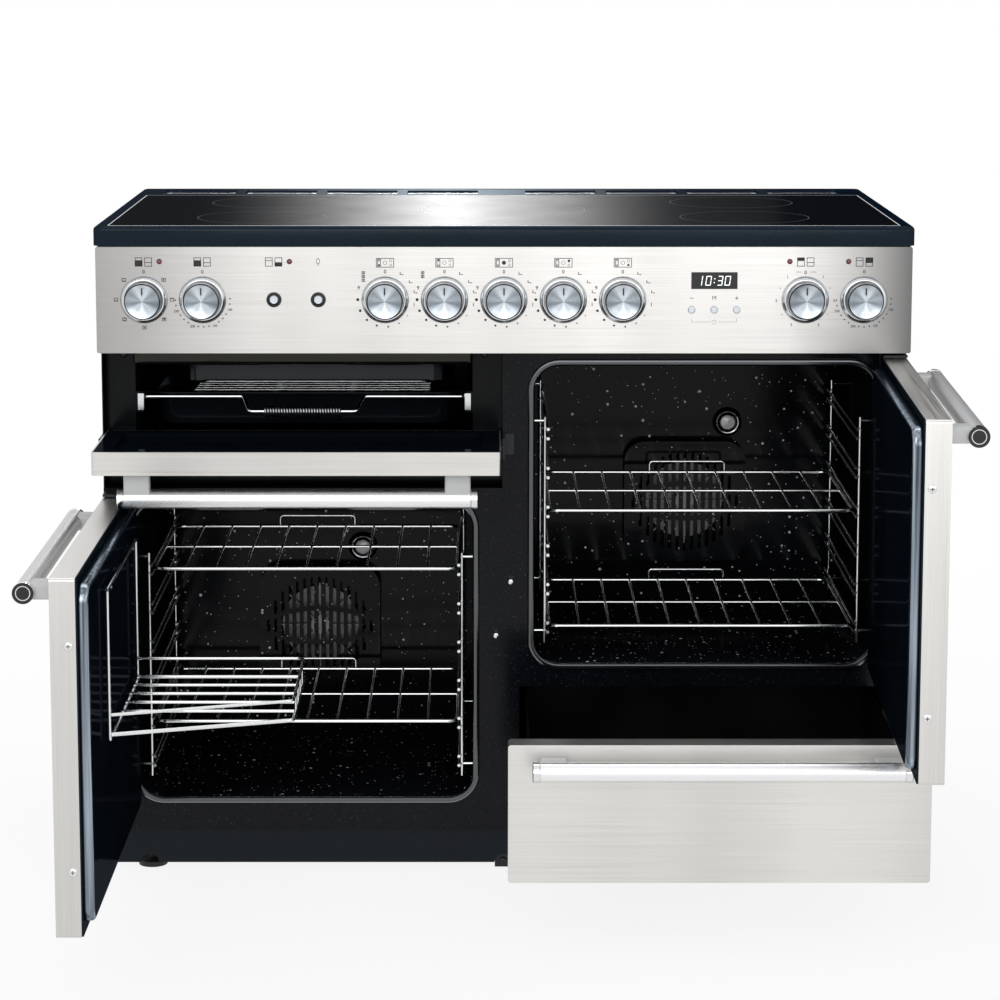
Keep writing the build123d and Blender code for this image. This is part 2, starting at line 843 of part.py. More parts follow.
# Heating elements: a ring round each fan, and a serpentine under the grill and left oven ceilings
elements = []
for x, z in ovens.values():
    centre_z = z - fan_drop
    ring_y = cavity_back_y - cover_depth / 2
    with BuildPart() as ring_element:
        with BuildSketch(Plane.XY.offset(centre_z)):
            with Locations((x + element_ring, ring_y)):
                Circle(element_radius)
        revolve(axis=Axis((x, 0, centre_z), (0, 1, 0)))
        for lead in (-1, 1):
            lead_x = x + lead * fan_hub
            lead_z = centre_z + (element_ring ** 2 - fan_hub ** 2) ** 0.5
            rod((lead_x, ring_y, lead_z), (lead_x, cavity_back_y, lead_z), element_radius - weld)
    elements.append(ring_element.part)


def serpentine(x, width, front_y, rear_y, z):
    """A flat four-run heating rod whose two ends meet the rear wall."""
    step = width / 3
    turn_y = rear_y - element_inset
    left = x - width / 2
    route = [(left, rear_y, z), (left, front_y, z), (left + step, front_y, z), (left + step, turn_y, z),
             (left + 2 * step, turn_y, z), (left + 2 * step, front_y, z), (left + width, front_y, z),
             (left + width, rear_y, z)]
    with BuildPart() as element:
        bent_rod(route, element_bend, element_radius)
    return element.part


grill_back_y = grill_flange_y + grill_depth
left_ceiling_z = left_oven_z + cavity_height / 2
grill_ceiling_z = grill_floor_z + grill_height
elements.append(serpentine(-column_x, cavity_width - 2 * element_margin, frame_back_y + element_inset,
                           cavity_back_y, left_ceiling_z - element_drop))
elements.append(serpentine(-column_x, grill_width - 2 * element_margin, grill_flange_y + element_inset,
                           grill_back_y, grill_ceiling_z - element_drop))
save_group(elements, "heating_elements")

# Oven lamps: domed glass on a socket through the back wall
with BuildPart() as oven_lamps:
    for x, z in ovens.values():
        lamp_x = x + bulb_offset
        with BuildSketch(Plane.XY.offset(z + bulb_offset)):
            with BuildLine():
                Line((lamp_x, cavity_back_y - bulb_rise), (lamp_x, cavity_back_y + bulb_socket_depth))
                Polyline((lamp_x, cavity_back_y + bulb_socket_depth),
                         (lamp_x + bulb_socket_radius, cavity_back_y + bulb_socket_depth),
                         (lamp_x + bulb_socket_radius, cavity_back_y), (lamp_x + bulb_radius, cavity_back_y))
                dome(lamp_x, cavity_back_y, bulb_radius, bulb_rise)
            make_face()
        revolve(axis=Axis((lamp_x, 0, z + bulb_offset), (0, 1, 0)))
save(oven_lamps.part, "oven_lamps")

# Woven door seals on the frame round each oven mouth
with BuildPart() as oven_door_seals:
    with BuildSketch(front(frame_y)):
        with Locations(*ovens.values()):
            RectangleRounded(cavity_width + 2 * seal_width, cavity_height + 2 * seal_width,
                             cavity_corner + seal_width)
            RectangleRounded(cavity_width, cavity_height, cavity_corner, mode=Mode.SUBTRACT)
    extrude(amount=frame_gap - seal_clearance)
save(oven_door_seals.part, "oven_door_seals")

# Ladders of paired wires on both walls of each oven
rung_offset = shelf_width / 2 - rung_radius / 2
upright_offset = rung_offset + rung_radius + post_radius - weld
ladder_front = frame_back_y + ladder_front_inset
ladder_rear = cavity_back_y - ladder_rear_inset
with BuildPart() as shelf_ladders:
    for x, z in ovens.values():
        floor_z = z - cavity_height / 2
        low = floor_z + rung_first - ladder_end
        high = floor_z + rung_first + (rung_levels - 1) * rung_pitch + rung_pair + ladder_end
        for side in (-1, 1):
            rung_x = x + side * rung_offset
            upright_x = x + side * upright_offset
            wall_x = x + side * cavity_width / 2
            for y in (ladder_front, ladder_rear):
                rod((upright_x, y, low), (upright_x, y, high), post_radius)
                for end_z in (floor_z + cavity_corner + 2 * post_radius, high - ladder_foot):
                    rod((upright_x, y, end_z), (wall_x, y, end_z), post_radius - weld)
            for level in range(rung_levels):
                for pair in (0, rung_pair):
                    rung_z = floor_z + rung_first + level * rung_pitch + pair
                    rod((rung_x, ladder_front - rung_end, rung_z), (rung_x, ladder_rear + rung_end, rung_z),
                        rung_radius)
save(shelf_ladders.part, "shelf_ladders")


def shelf(name, x, oven_z, level):
    """A wire shelf with rounded corners that rests on one pair of ladder rungs."""
    z = oven_z - cavity_height / 2 + rung_first + level * rung_pitch + rung_radius + seat_gap + shelf_wire
    half = shelf_width / 2 - shelf_wire
    front_y = frame_back_y + shelf_front_inset
    rear_y = front_y + shelf_depth
    with BuildPart() as wires:
        left, right = x - half, x + half
        bent_rod([(left, front_y, z), (right, front_y, z), (right, rear_y, z), (left, rear_y, z)],
                 shelf_corner, shelf_wire, close=True)
        for index in range(shelf_rods):
            rod_x = left + (index + 1) * 2 * half / (shelf_rods + 1)
            rod((rod_x, front_y, z), (rod_x, rear_y, z), shelf_rod)
        middle_y = (front_y + rear_y) / 2
        rod((left, middle_y, z), (right, middle_y, z), shelf_rod + weld)
        stop = shelf_stop_width / 2
        stop_z = z + shelf_stop_rise
        bent_rod([(x - stop, rear_y, z), (x - stop, rear_y, stop_z), (x + stop, rear_y, stop_z),
                  (x + stop, rear_y, z)], shelf_stop_bend, shelf_rod)
    save(wires.part, name)


shelf("left_oven_lower_shelf", -column_x, left_oven_z, 1)
shelf("left_oven_upper_shelf", -column_x, left_oven_z, 5)
shelf("right_oven_lower_shelf", column_x, right_oven_z, 0)
shelf("right_oven_upper_shelf", column_x, right_oven_z, 3)


def channel(x, side, y, z, height):
    """A fixed C-shaped runner whose web stands on the wall at x and opens towards the middle."""
    low, high = z - height / 2, z + height / 2
    with BuildPart() as runner:
        block(span(x, x - side * rail_sheet), y, (low, high))
        for edge in (low, high - rail_sheet):
            block(span(x, x - side * rail_width), y, (edge, edge + rail_sheet))
    return runner.part


# Grill recess, set back behind the frame so that the dropped door can swing under it
with BuildPart() as grill_recess:
    recess_x = (sheet - body_half, sheet - post_half)
    recess_z = (grill_recess_bottom - sheet, fascia_bottom + sheet)
    recess_y = (frame_back_y, grill_flange_y + sheet)
    block(recess_x, recess_y, (recess_z[0], recess_z[0] + sheet))
    block(recess_x, recess_y, (recess_z[1] - sheet, recess_z[1]))
    block((recess_x[1] - sheet, recess_x[1]), recess_y, recess_z)
    block(recess_x, (grill_flange_y, grill_flange_y + sheet), recess_z)
    grill_z = grill_floor_z + grill_height / 2
    with BuildSketch(front(grill_flange_y)):
        with Locations((-column_x, grill_z)):
            RectangleRounded(grill_width, grill_height, grill_corner)
    extrude(amount=-sheet, mode=Mode.SUBTRACT)

# Grill chamber behind the recess, with its runners
with BuildPart() as grill_chamber:
    chamber_y = grill_flange_y + sheet
    with BuildSketch(front(chamber_y)):
        with Locations((-column_x, grill_z)):
            RectangleRounded(grill_width + 2 * sheet, grill_height + 2 * sheet, grill_corner + sheet)
    extrude(amount=-grill_depth)
    with BuildSketch(front(chamber_y)):
        with Locations((-column_x, grill_z)):
            RectangleRounded(grill_width, grill_height, grill_corner)
    extrude(amount=-(grill_depth - sheet), mode=Mode.SUBTRACT)
grill_rail_y = (chamber_y, grill_flange_y + pan_depth + 3 * carriage_wire)
grill_rails = [channel(-column_x + side * grill_wall, side, grill_rail_y, rail_z, rail_height)
               for side in (-1, 1)]
save_group([grill_recess.part, grill_chamber.part, *grill_rails], "grill_cavity")

# Grill carriage: slides in the rails, side and front wires, and a coil-wrapped handle
slide_bottom = rail_z - rail_height / 2 + rail_sheet + slide_clearance
slide_near = grill_wall - rail_sheet - slide_clearance
slide_inner = slide_near - slide_width - rail_sheet
side_wire_x = slide_inner - carriage_wire + weld
carriage_front = grill_flange_y - 2 * carriage_wire
slide_front = grill_rail_y[0]
slide_rear = grill_rail_y[1]
wire_z = slide_top - carriage_wire
grip_y = carriage_front - grip_forward
grip_z = wire_z - grip_drop
grip_half = grip_length / 2
with BuildPart() as carriage:
    for side in (-1, 1):
        x = -column_x + side * slide_near
        block(span(x, x - side * slide_width), (slide_front, slide_rear), (slide_bottom, slide_top))
        inner_x = -column_x + side * slide_inner
        block(span(x - side * slide_width, inner_x), (slide_front, slide_rear), (slide_bottom, slide_top))
    left, right = -column_x - side_wire_x, -column_x + side_wire_x
    bent_rod([(left, slide_rear, wire_z), (left, carriage_front, wire_z),
              (-column_x - grip_half - grip_forward, carriage_front, wire_z),
              (-column_x - grip_half - carriage_drop, grip_y, grip_z),
              (-column_x + grip_half + carriage_drop, grip_y, grip_z),
              (-column_x + grip_half + grip_forward, carriage_front, wire_z),
              (right, carriage_front, wire_z), (right, slide_rear, wire_z)], carriage_bend, carriage_wire)
    cross_y = slide_rear - carriage_wire
    rod((left, cross_y, wire_z), (right, cross_y, wire_z), carriage_wire - weld)
    rod((-column_x - grip_half, grip_y, grip_z), (-column_x + grip_half, grip_y, grip_z),
        grip_coil_radius - grip_wire - seat_gap)

# The grip is one wire wound round the handle, each quarter turn an arc tangent to the last
grip_pitch = grip_length / grip_turns
quarter_turns = [Vector(-column_x - grip_half + grip_pitch * i / 4,
                        grip_y + grip_coil_radius * cos(i * pi / 2),
                        grip_z + grip_coil_radius * sin(i * pi / 2)) for i in range(4 * grip_turns + 1)]
with BuildPart() as coil_grip:
    with BuildLine() as winding:
        heading = Vector(grip_pitch, 0, 2 * pi * grip_coil_radius).normalized()
        arcs = []
        for here, there in zip(quarter_turns, quarter_turns[1:]):
            arcs.append(TangentArc(here, there, tangent=heading))
            heading = arcs[-1] % 1
    with BuildSketch(Plane(origin=winding.line @ 0, z_dir=winding.line % 0)):
        Circle(grip_wire)
    sweep()
steps_per_arc = 6
half_turn = 2 * steps_per_arc
centre_line = [arc @ (step / steps_per_arc) for arc in arcs for step in range(steps_per_arc)]
least_gap = min((here - there).length for i, here in enumerate(centre_line)
                for there in centre_line[i + half_turn:i + 4 * half_turn]) - 2 * grip_wire
print("coil grip: least gap between turns", round(least_gap, 3), "mm")
save_group([carriage.part, coil_grip.part], "grill_carriage")

# Grill pan: a tapered enamel tray whose rim rests on the carriage slides
pan_width = 2 * (side_wire_x - carriage_wire + pan_overlap)
pan_y = grill_flange_y + pan_depth / 2
with BuildPart() as grill_pan:
    with BuildSketch(Plane.XY.offset(pan_rim_z)):
        with Locations((-column_x, pan_y)):
            RectangleRounded(pan_width, pan_depth, pan_corner)
    extrude(amount=pan_sheet)
    with BuildSketch(Plane.XY.offset(pan_rim_z + pan_sheet)):
        with Locations((-column_x, pan_y)):
            RectangleRounded(pan_width - 2 * pan_rim, pan_depth - 2 * pan_rim, pan_corner)
    extrude(amount=-(pan_height + pan_sheet), taper=pan_taper)
    with BuildSketch(Plane.XY.offset(pan_rim_z + pan_sheet)):
        with Locations((-column_x, pan_y)):
            RectangleRounded(pan_width - 2 * (pan_rim + pan_sheet), pan_depth - 2 * (pan_rim + pan_sheet),
                             pan_corner - pan_sheet)
    extrude(amount=-pan_height, taper=pan_taper, mode=Mode.SUBTRACT)
save(grill_pan.part, "grill_pan")

# Trivet: a wire rack on four legs in the pan
with BuildPart() as grill_trivet:
    trivet_z = pan_floor_z + pan_sheet + seat_gap + trivet_leg
    half_x = trivet_width / 2
    half_y = trivet_depth / 2
    bent_rod([(-column_x - half_x, pan_y - half_y, trivet_z), (-column_x + half_x, pan_y - half_y, trivet_z),
              (-column_x + half_x, pan_y + half_y, trivet_z), (-column_x - half_x, pan_y + half_y, trivet_z)],
             trivet_corner, trivet_frame, close=True)
    for index in range(trivet_rods):
        rod_y = pan_y - half_y + (index + 1) * trivet_depth / (trivet_rods + 1)
        rod((-column_x - half_x, rod_y, trivet_z), (-column_x + half_x, rod_y, trivet_z), trivet_rod)
    for side in (-1, 1):
        for end in (-1, 1):
            leg_x = -column_x + side * half_x / 2
            leg_y = pan_y + end * half_y
            rod((leg_x, leg_y, trivet_z), (leg_x, leg_y, trivet_z - trivet_leg), trivet_rod + weld)
save(grill_trivet.part, "grill_trivet")

# Drawer housing with its runners
with BuildPart() as drawer_liner:
    with BuildSketch(front(frame_back_y)):
        with Locations((column_x, drawer_opening_z)):
            Rectangle(drawer_opening + 2 * sheet, drawer_opening_height + 2 * sheet)
    extrude(amount=-(drawer_housing_depth + sheet))
    with BuildSketch(front(frame_back_y)):
        with Locations((column_x, drawer_opening_z)):
            Rectangle(drawer_opening, drawer_opening_height)
    extrude(amount=-drawer_housing_depth, mode=Mode.SUBTRACT)
drawer_rail_z = drawer_bottom + drawer_rail_rise
drawer_rail_y = (frame_back_y + sheet, frame_back_y + sheet + drawer_rail_length)
drawer_rails = [channel(column_x + side * drawer_opening / 2, side, drawer_rail_y, drawer_rail_z, rail_height)
                for side in (-1, 1)]
save_group([drawer_liner.part, *drawer_rails], "drawer_housing")


def door_skin(x, bottom, height, pins):
    """A folded door front: flat face, four returns and pin holes along the given axes."""
    with BuildPart() as skin:
        with BuildSketch(front(face_y)):
            with Locations((x, bottom + height / 2)):
                RectangleRounded(door_width, height, skin_corner)
        extrude(amount=-skin_depth)
        with BuildSketch(front(skin_back_y)):
            with Locations((x, bottom + height / 2)):
                Rectangle(door_width - 2 * skin_sheet, height - 2 * skin_sheet)
        extrude(amount=skin_depth - skin_sheet, mode=Mode.SUBTRACT)
        for start, end in pins:
            rod(start, end, pin_radius + pin_clearance, mode=Mode.SUBTRACT)
    return skin.part


def oven_liner(x, bottom):
    """The inner door panel: a border that closes the skin and a raised, rounded pillow."""
    z = bottom + oven_door_height / 2
    border = skin_sheet / 2
    pillow_width = door_width - 2 * liner_inset
    pillow_height = oven_door_height - 2 * liner_inset
    with BuildPart() as liner:
        with BuildSketch(front(skin_back_y)):
            with Locations((x, z)):
                RectangleRounded(pillow_width, pillow_height, liner_corner)
        extrude(amount=-liner_depth)
        fillet(liner.faces().sort_by(Axis.Y)[-1].edges(), liner_edge)
        with BuildSketch(front(skin_back_y)):
            with Locations((x, z)):
                RectangleRounded(door_width - 2 * border, oven_door_height - 2 * border, skin_corner - border)
        extrude(amount=-skin_sheet)
        with BuildSketch(front(skin_back_y)):
            with Locations((x, z)):
                RectangleRounded(pillow_width - 4 * skin_sheet, pillow_height - 4 * skin_sheet,
                                 liner_corner - 2 * skin_sheet)
        extrude(amount=-(liner_depth - skin_sheet), mode=Mode.SUBTRACT)
    return liner.part


def handle(x, panel_top):
    """A round bar on two posts, with a ringed cap on each end."""
    axis_y = face_y - handle_reach + handle_radius
    axis_z = panel_top - handle_drop
    half = handle_length / 2
    with BuildPart() as bar:
        rod((x - half, axis_y, axis_z), (x + half, axis_y, axis_z), handle_radius)
    with BuildPart() as posts:
        with BuildSketch(front(face_y)):
            with Locations((x - post_offset, axis_z), (x + post_offset, axis_z)):
                RectangleRounded(post_width, post_height, post_corner)
        extrude(amount=face_y - axis_y)
        rod((x - half, axis_y, axis_z), (x + half, axis_y, axis_z), handle_radius, mode=Mode.SUBTRACT)
    with BuildPart() as caps:
        for side in (-1, 1):
            inner_x = x + side * half
            outer_x = inner_x + side * cap_length
            rod((inner_x, axis_y, axis_z), (outer_x, axis_y, axis_z), cap_radius)
            rod((outer_x, axis_y, axis_z), (outer_x - side * cap_disc_recess, axis_y, axis_z),
                cap_disc_radius, mode=Mode.SUBTRACT)
        chamfer(caps.edges().filter_by(GeomType.CIRCLE).group_by(SortBy.RADIUS)[-1], cap_chamfer)
    return Compound([bar.part.solid(), *posts.part.solids(), *caps.part.solids()])


def vertical_pins(side, bottom):
    top = bottom + oven_door_height
    return [((side * hinge_x, hinge_y, bottom), (side * hinge_x, hinge_y, bottom + skin_sheet)),
            ((side * hinge_x, hinge_y, top - skin_sheet), (side * hinge_x, hinge_y, top))]


# Left oven door, with two studs on its liner for the roasting rack
rack_floor_z = left_door_bottom + rack_floor
rack_top_z = rack_floor_z + rack_height
stud_z = rack_top_z - rack_wire + weld - seat_gap - stud_radius
rack_near_x = rack_near - hinge_x
rack_far_x = rack_far - hinge_x
stud_places = [(rack_near_x + stud_inset, stud_z), (rack_far_x - stud_inset, stud_z)]
left_skin = door_skin(-column_x, left_door_bottom, oven_door_height, vertical_pins(-1, left_door_bottom))
with BuildPart() as left_liner:
    add(oven_liner(-column_x, left_door_bottom))
    with BuildSketch(front(liner_y)):
        with Locations(*stud_places):
            Circle(stud_radius)
    extrude(amount=-(rack_standoff + rack_wire))
save(open_left(left_skin), "left_door_skin")
save(open_left(left_liner.part), "left_door_liner")
save_group([open_left(handle(-column_x, left_door_top))], "left_door_handle")

# Right oven door
right_skin = door_skin(column_x, right_door_bottom, oven_door_height, vertical_pins(1, right_door_bottom))
save(open_right(right_skin), "right_door_skin")
save(open_right(oven_liner(column_x, right_door_bottom)), "right_door_liner")
save_group([open_right(handle(column_x, doors_top))], "right_door_handle")

# Grill door, hung on two side pins above its lower edge
grill_edge = column_x + door_width / 2
grill_pins = [((x, hinge_y, grill_pivot_z), (x + skin_sheet, hinge_y, grill_pivot_z))
              for x in (-grill_edge, -centre_gap / 2 - skin_sheet)]
grill_skin = door_skin(-column_x, grill_door_bottom, grill_door_height, grill_pins)
with BuildPart() as grill_inner:
    inner_width = door_width - 2 * skin_sheet
    inner_height = grill_door_height - 2 * skin_sheet
    with BuildSketch(front(skin_back_y)):
        with Locations((-column_x, grill_door_bottom + grill_door_height / 2)):
            Rectangle(inner_width, inner_height)
    extrude(amount=sheet)
    with BuildSketch(front(skin_back_y - sheet)):
        with Locations((-column_x, grill_door_bottom + grill_door_height / 2)):
            RectangleRounded(inner_width - 2 * liner_corner, inner_height - 2 * liner_corner, liner_inset)
    extrude(amount=liner_edge)
    with BuildSketch(front(skin_back_y)):
        with Locations((-column_x, grill_door_bottom + grill_door_height / 2)):
            RectangleRounded(inner_width - 2 * (liner_corner + sheet),
                             inner_height - 2 * (liner_corner + sheet), liner_inset - sheet)
    extrude(amount=liner_edge, mode=Mode.SUBTRACT)
save(open_grill(grill_skin), "grill_door_skin")
save(open_grill(grill_inner.part), "grill_door_liner")
save_group([open_grill(handle(-column_x, doors_top))], "grill_door_handle")

# Drawer: folded front, open steel box with slides, and handle
drawer_height = drawer_top - drawer_bottom
box_half = drawer_opening / 2 - rail_width - slide_clearance
box_bottom = drawer_bottom + drawer_box_rise
box_top = box_bottom + drawer_box_height
box_rear = skin_back_y + drawer_box_depth
with BuildPart() as drawer_box:
    border = skin_sheet / 2
    with BuildSketch(front(skin_back_y)):
        with Locations((column_x, drawer_bottom + drawer_height / 2)):
            RectangleRounded(door_width - 2 * border, drawer_height - 2 * border, skin_corner - border)
    extrude(amount=-skin_sheet)
    block((column_x - box_half, column_x + box_half), (skin_back_y, box_rear), (box_bottom, box_top))
    block((column_x - box_half + sheet, column_x + box_half - sheet),
          (skin_back_y + skin_sheet, box_rear - sheet), (box_bottom + sheet, box_top), mode=Mode.SUBTRACT)
    slide_y = (box_rear - drawer_slide_length, box_rear)
    drawer_slide_top = drawer_rail_z + rail_height / 2 - rail_sheet - slide_clearance
    drawer_slide_bottom = drawer_rail_z - rail_height / 2 + rail_sheet + slide_clearance
    for side in (-1, 1):
        wall_x = column_x + side * box_half
        block(span(wall_x, column_x + side * (drawer_opening / 2 - rail_sheet - slide_clearance)), slide_y,
              (drawer_slide_bottom, drawer_slide_top))
save(open_drawer(door_skin(column_x, drawer_bottom, drawer_height, [])), "drawer_front")
save(open_drawer(drawer_box.part), "drawer_box")
save_group([open_drawer(handle(column_x, drawer_top))], "drawer_handle")

# Roasting rack on the studs of the left door: an upright frame, a floor that nests in it and a raised rim
rack_y = liner_y + rack_standoff
rack_nest = 2 * rack_wire + seat_gap
with BuildPart() as rack_frame:
    bent_rod([(rack_near_x, rack_y, rack_top_z), (rack_near_x, rack_y, rack_floor_z),
              (rack_far_x, rack_y, rack_floor_z), (rack_far_x, rack_y, rack_top_z)], rack_nest, rack_wire)
    rod((rack_near_x - rack_wire, rack_y, rack_top_z), (rack_far_x + rack_wire, rack_y, rack_top_z),
        rack_wire - weld)
near = rack_near_x + rack_nest
far = rack_far_x - rack_nest
end_y = liner_y + rack_depth
basket_z = rack_floor_z + rack_nest
rim_z = basket_z + rack_rim
rod_places = [near + (i + 1) * (far - rack_taper - near) / (rack_rods + 1) for i in range(rack_rods)]
with BuildPart() as rack_base:
    bent_rod([(near, rack_y, basket_z), (near, end_y, basket_z), (far - rack_taper, end_y, basket_z),
              (far, rack_y, basket_z)], rack_bend, rack_wire)
    for x in rod_places:
        rod((x, rack_y, basket_z), (x, end_y, basket_z), rack_rod)
with BuildPart() as rack_edge:
    bent_rod([(near, rack_y, rim_z), (near, end_y, rim_z), (far - rack_taper, end_y, rim_z),
              (far, rack_y, rim_z)], rack_bend, rack_rod)
    for x in rod_places:
        rod((x, end_y, basket_z + rack_wire + seat_gap), (x, end_y, rim_z), rack_rod - weld)
save_group([open_left(wires.part) for wires in (rack_frame, rack_base, rack_edge)], "door_roasting_rack")


def oven_hinge(side, edge, up):
    """An angle plate on the frame with a pin that enters the door edge, up or down."""
    plate_z = span(edge - up * hinge_air, edge - up * (hinge_air + hinge_plate))
    foot_z = span(edge - up * (hinge_air + hinge_plate), edge + up * hinge_foot)
    plate_x = (side * hinge_x - hinge_half, side * hinge_x + hinge_half)
    with BuildPart() as hinge:
        block(plate_x, (hinge_y - hinge_front, frame_y), plate_z)
        block(plate_x, (frame_y - hinge_plate, frame_y), foot_z)
        rod((side * hinge_x, hinge_y, edge - up * hinge_air),
            (side * hinge_x, hinge_y, edge + up * pin_reach), pin_radius)
    return hinge.part


# Hinge plates of the ovens, pivot arms of the grill door and one roller catch for each oven door
hinges = [oven_hinge(-1, left_door_bottom, 1), oven_hinge(-1, left_door_top, -1),
          oven_hinge(1, right_door_bottom, 1), oven_hinge(1, doors_top, -1)]
arm_y = hinge_y - hinge_front
arm_z = (grill_pivot_z - arm_half, grill_pivot_z + arm_half)
left_arm_x = (-body_half, arm_thickness - body_half)
with BuildPart() as left_arm:
    block(left_arm_x, (arm_y, frame_back_y), arm_z)
    rod((left_arm_x[1], hinge_y, grill_pivot_z), (pin_reach - grill_edge, hinge_y, grill_pivot_z), pin_radius)
with BuildPart() as right_arm:
    block((-post_half, post_half), (arm_y, frame_y), arm_z)
    block((-post_half, arm_half), (frame_y - hinge_plate, frame_y), arm_z)
    rod((-post_half, hinge_y, grill_pivot_z), (-centre_gap / 2 - pin_reach, hinge_y, grill_pivot_z),
        pin_radius)
catch_x = centre_gap / 2 + liner_inset / 2
with BuildPart() as catches:
    for x, z in ((-catch_x, left_catch_z), (catch_x, right_catch_z)):
        rod((x, frame_y, z), (x, frame_y - catch_reach, z), catch_radius)
    fillet(catches.faces().group_by(Axis.Y)[0].edges(), catch_radius / 2)
save_group([*hinges, left_arm.part, right_arm.part, catches.part], "door_hinges")
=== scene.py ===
import json
import math

import bpy
from mathutils import Matrix, Vector

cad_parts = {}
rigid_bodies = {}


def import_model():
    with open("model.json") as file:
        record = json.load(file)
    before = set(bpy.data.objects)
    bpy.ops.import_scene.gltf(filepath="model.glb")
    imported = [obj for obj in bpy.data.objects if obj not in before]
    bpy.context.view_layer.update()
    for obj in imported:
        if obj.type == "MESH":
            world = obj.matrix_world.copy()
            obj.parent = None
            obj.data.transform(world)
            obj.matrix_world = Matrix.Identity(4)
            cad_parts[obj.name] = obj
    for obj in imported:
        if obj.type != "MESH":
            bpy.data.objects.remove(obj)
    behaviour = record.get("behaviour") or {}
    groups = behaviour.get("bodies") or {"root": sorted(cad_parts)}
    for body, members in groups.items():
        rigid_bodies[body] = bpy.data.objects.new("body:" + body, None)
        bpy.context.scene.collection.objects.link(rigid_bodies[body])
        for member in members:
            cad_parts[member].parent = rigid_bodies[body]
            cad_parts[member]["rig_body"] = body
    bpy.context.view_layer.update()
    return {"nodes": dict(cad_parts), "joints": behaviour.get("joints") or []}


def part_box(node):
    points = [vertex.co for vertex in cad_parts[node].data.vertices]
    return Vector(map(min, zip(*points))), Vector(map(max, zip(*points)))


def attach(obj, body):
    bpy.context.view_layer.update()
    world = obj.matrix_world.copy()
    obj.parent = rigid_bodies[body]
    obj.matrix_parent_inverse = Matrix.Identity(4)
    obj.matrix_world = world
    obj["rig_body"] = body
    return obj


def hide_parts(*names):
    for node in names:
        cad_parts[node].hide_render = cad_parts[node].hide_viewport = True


bpy.ops.object.select_all(action="SELECT")
bpy.ops.object.delete()
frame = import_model()
nodes = frame["nodes"]
joints = {joint["name"]: joint for joint in frame["joints"]}
mm = 0.001
leftOpen, rightOpen = 90, 88  # how far the oven doors stand open, in degrees
rightTurn = math.radians(leftOpen - rightOpen)
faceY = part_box("control_panel")[0].y  # the fascia's front face
print("frame loaded,", len(nodes), "nodes")


# selecting and editing

def clearSelection():
    active = bpy.context.view_layer.objects.active
    if active and active.mode != "OBJECT":
        bpy.ops.object.mode_set(mode="OBJECT")
    bpy.ops.object.select_all(action="DESELECT")


def pick(*pieces):
    clearSelection()
    for piece in pieces:
        piece.select_set(True)
    bpy.context.view_layer.objects.active = pieces[0]


def editAll(piece):
    pick(piece)
    bpy.ops.object.mode_set(mode="EDIT")
    bpy.ops.mesh.select_all(action="SELECT")


def applyPlace(piece):  # the place goes into the mesh, the object stays at the origin
    pick(piece)
    bpy.ops.object.transform_apply(location=True, rotation=True, scale=True)


def smooth(piece, angle=32):
    pick(piece)
    bpy.ops.object.shade_smooth_by_angle(angle=math.radians(angle))


def paint(piece, material):
    piece.data.materials.clear()
    piece.data.materials.append(material)


def paintFaces(piece, material, test):  # a second finish on the faces that pass the test
    piece.data.materials.append(material)
    index = len(piece.data.materials) - 1
    for face in piece.data.polygons:
        if test(face):
            face.material_index = index


def dressed(piece, material, angle=40):
    smooth(piece, angle)
    paint(piece, material)
    return piece


def copyOf(piece, matrix):
    twin = piece.copy()
    twin.data = piece.data.copy()
    twin.data.transform(matrix)
    bpy.context.collection.objects.link(twin)
    return twin


def joined(pieces, name):
    pick(*pieces)
    if len(pieces) > 1:
        bpy.ops.object.join()
    piece = bpy.context.view_layer.objects.active
    applyPlace(piece)
    piece.name = name
    piece.data.name = name
    return piece


def mount(piece, body, stands=()):
    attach(piece, body)
    if stands:
        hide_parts(*stands)
    return piece


def dialCentre(nodeName):  # on the fascia, behind a knob, button or lamp
    low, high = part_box(nodeName)
    return Vector(((low.x + high.x) / 2, faceY, (low.z + high.z) / 2))


# shapes

def inMillimetres(points):
    return [(a * mm, b * mm) for a, b in points]


def lathe(outline, centre, axis="Y", steps=64):
    # outline holds (radius, distance along the axis) in metres, turned about the axis through centre
    def place(point):
        radius, along = point
        return Vector((along, 0, radius) if axis == "X" else (radius, along, 0))

    clearSelection()
    bpy.ops.mesh.primitive_plane_add(size=mm, location=centre)
    piece = bpy.context.object
    editAll(piece)
    bpy.ops.mesh.merge(type="CENTER")
    bpy.ops.transform.translate(value=place(outline[0]))
    for last, point in zip(outline, outline[1:]):
        bpy.ops.mesh.extrude_vertices_move(TRANSFORM_OT_translate={"value": place(point) - place(last)})
    bpy.ops.mesh.select_all(action="SELECT")
    turnAxis = (1, 0, 0) if axis == "X" else (0, 1, 0)
    bpy.ops.mesh.spin(steps=steps, angle=2 * math.pi, center=centre, axis=turnAxis)
    bpy.ops.mesh.select_all(action="SELECT")
    bpy.ops.mesh.remove_doubles(threshold=1e-6)
    bpy.ops.mesh.normals_make_consistent(inside=False)
    applyPlace(piece)
    return piece


def roundedBlock(low, high, radius, segments=3):
    low, high = Vector(low), Vector(high)
    clearSelection()
    bpy.ops.mesh.primitive_cube_add(size=1, location=(low + high) / 2, scale=high - low)
    piece = bpy.context.object
    applyPlace(piece)
    if radius:
        editAll(piece)
        bpy.ops.mesh.bevel(offset=radius, segments=segments, affect="EDGES")
        clearSelection()
    return piece


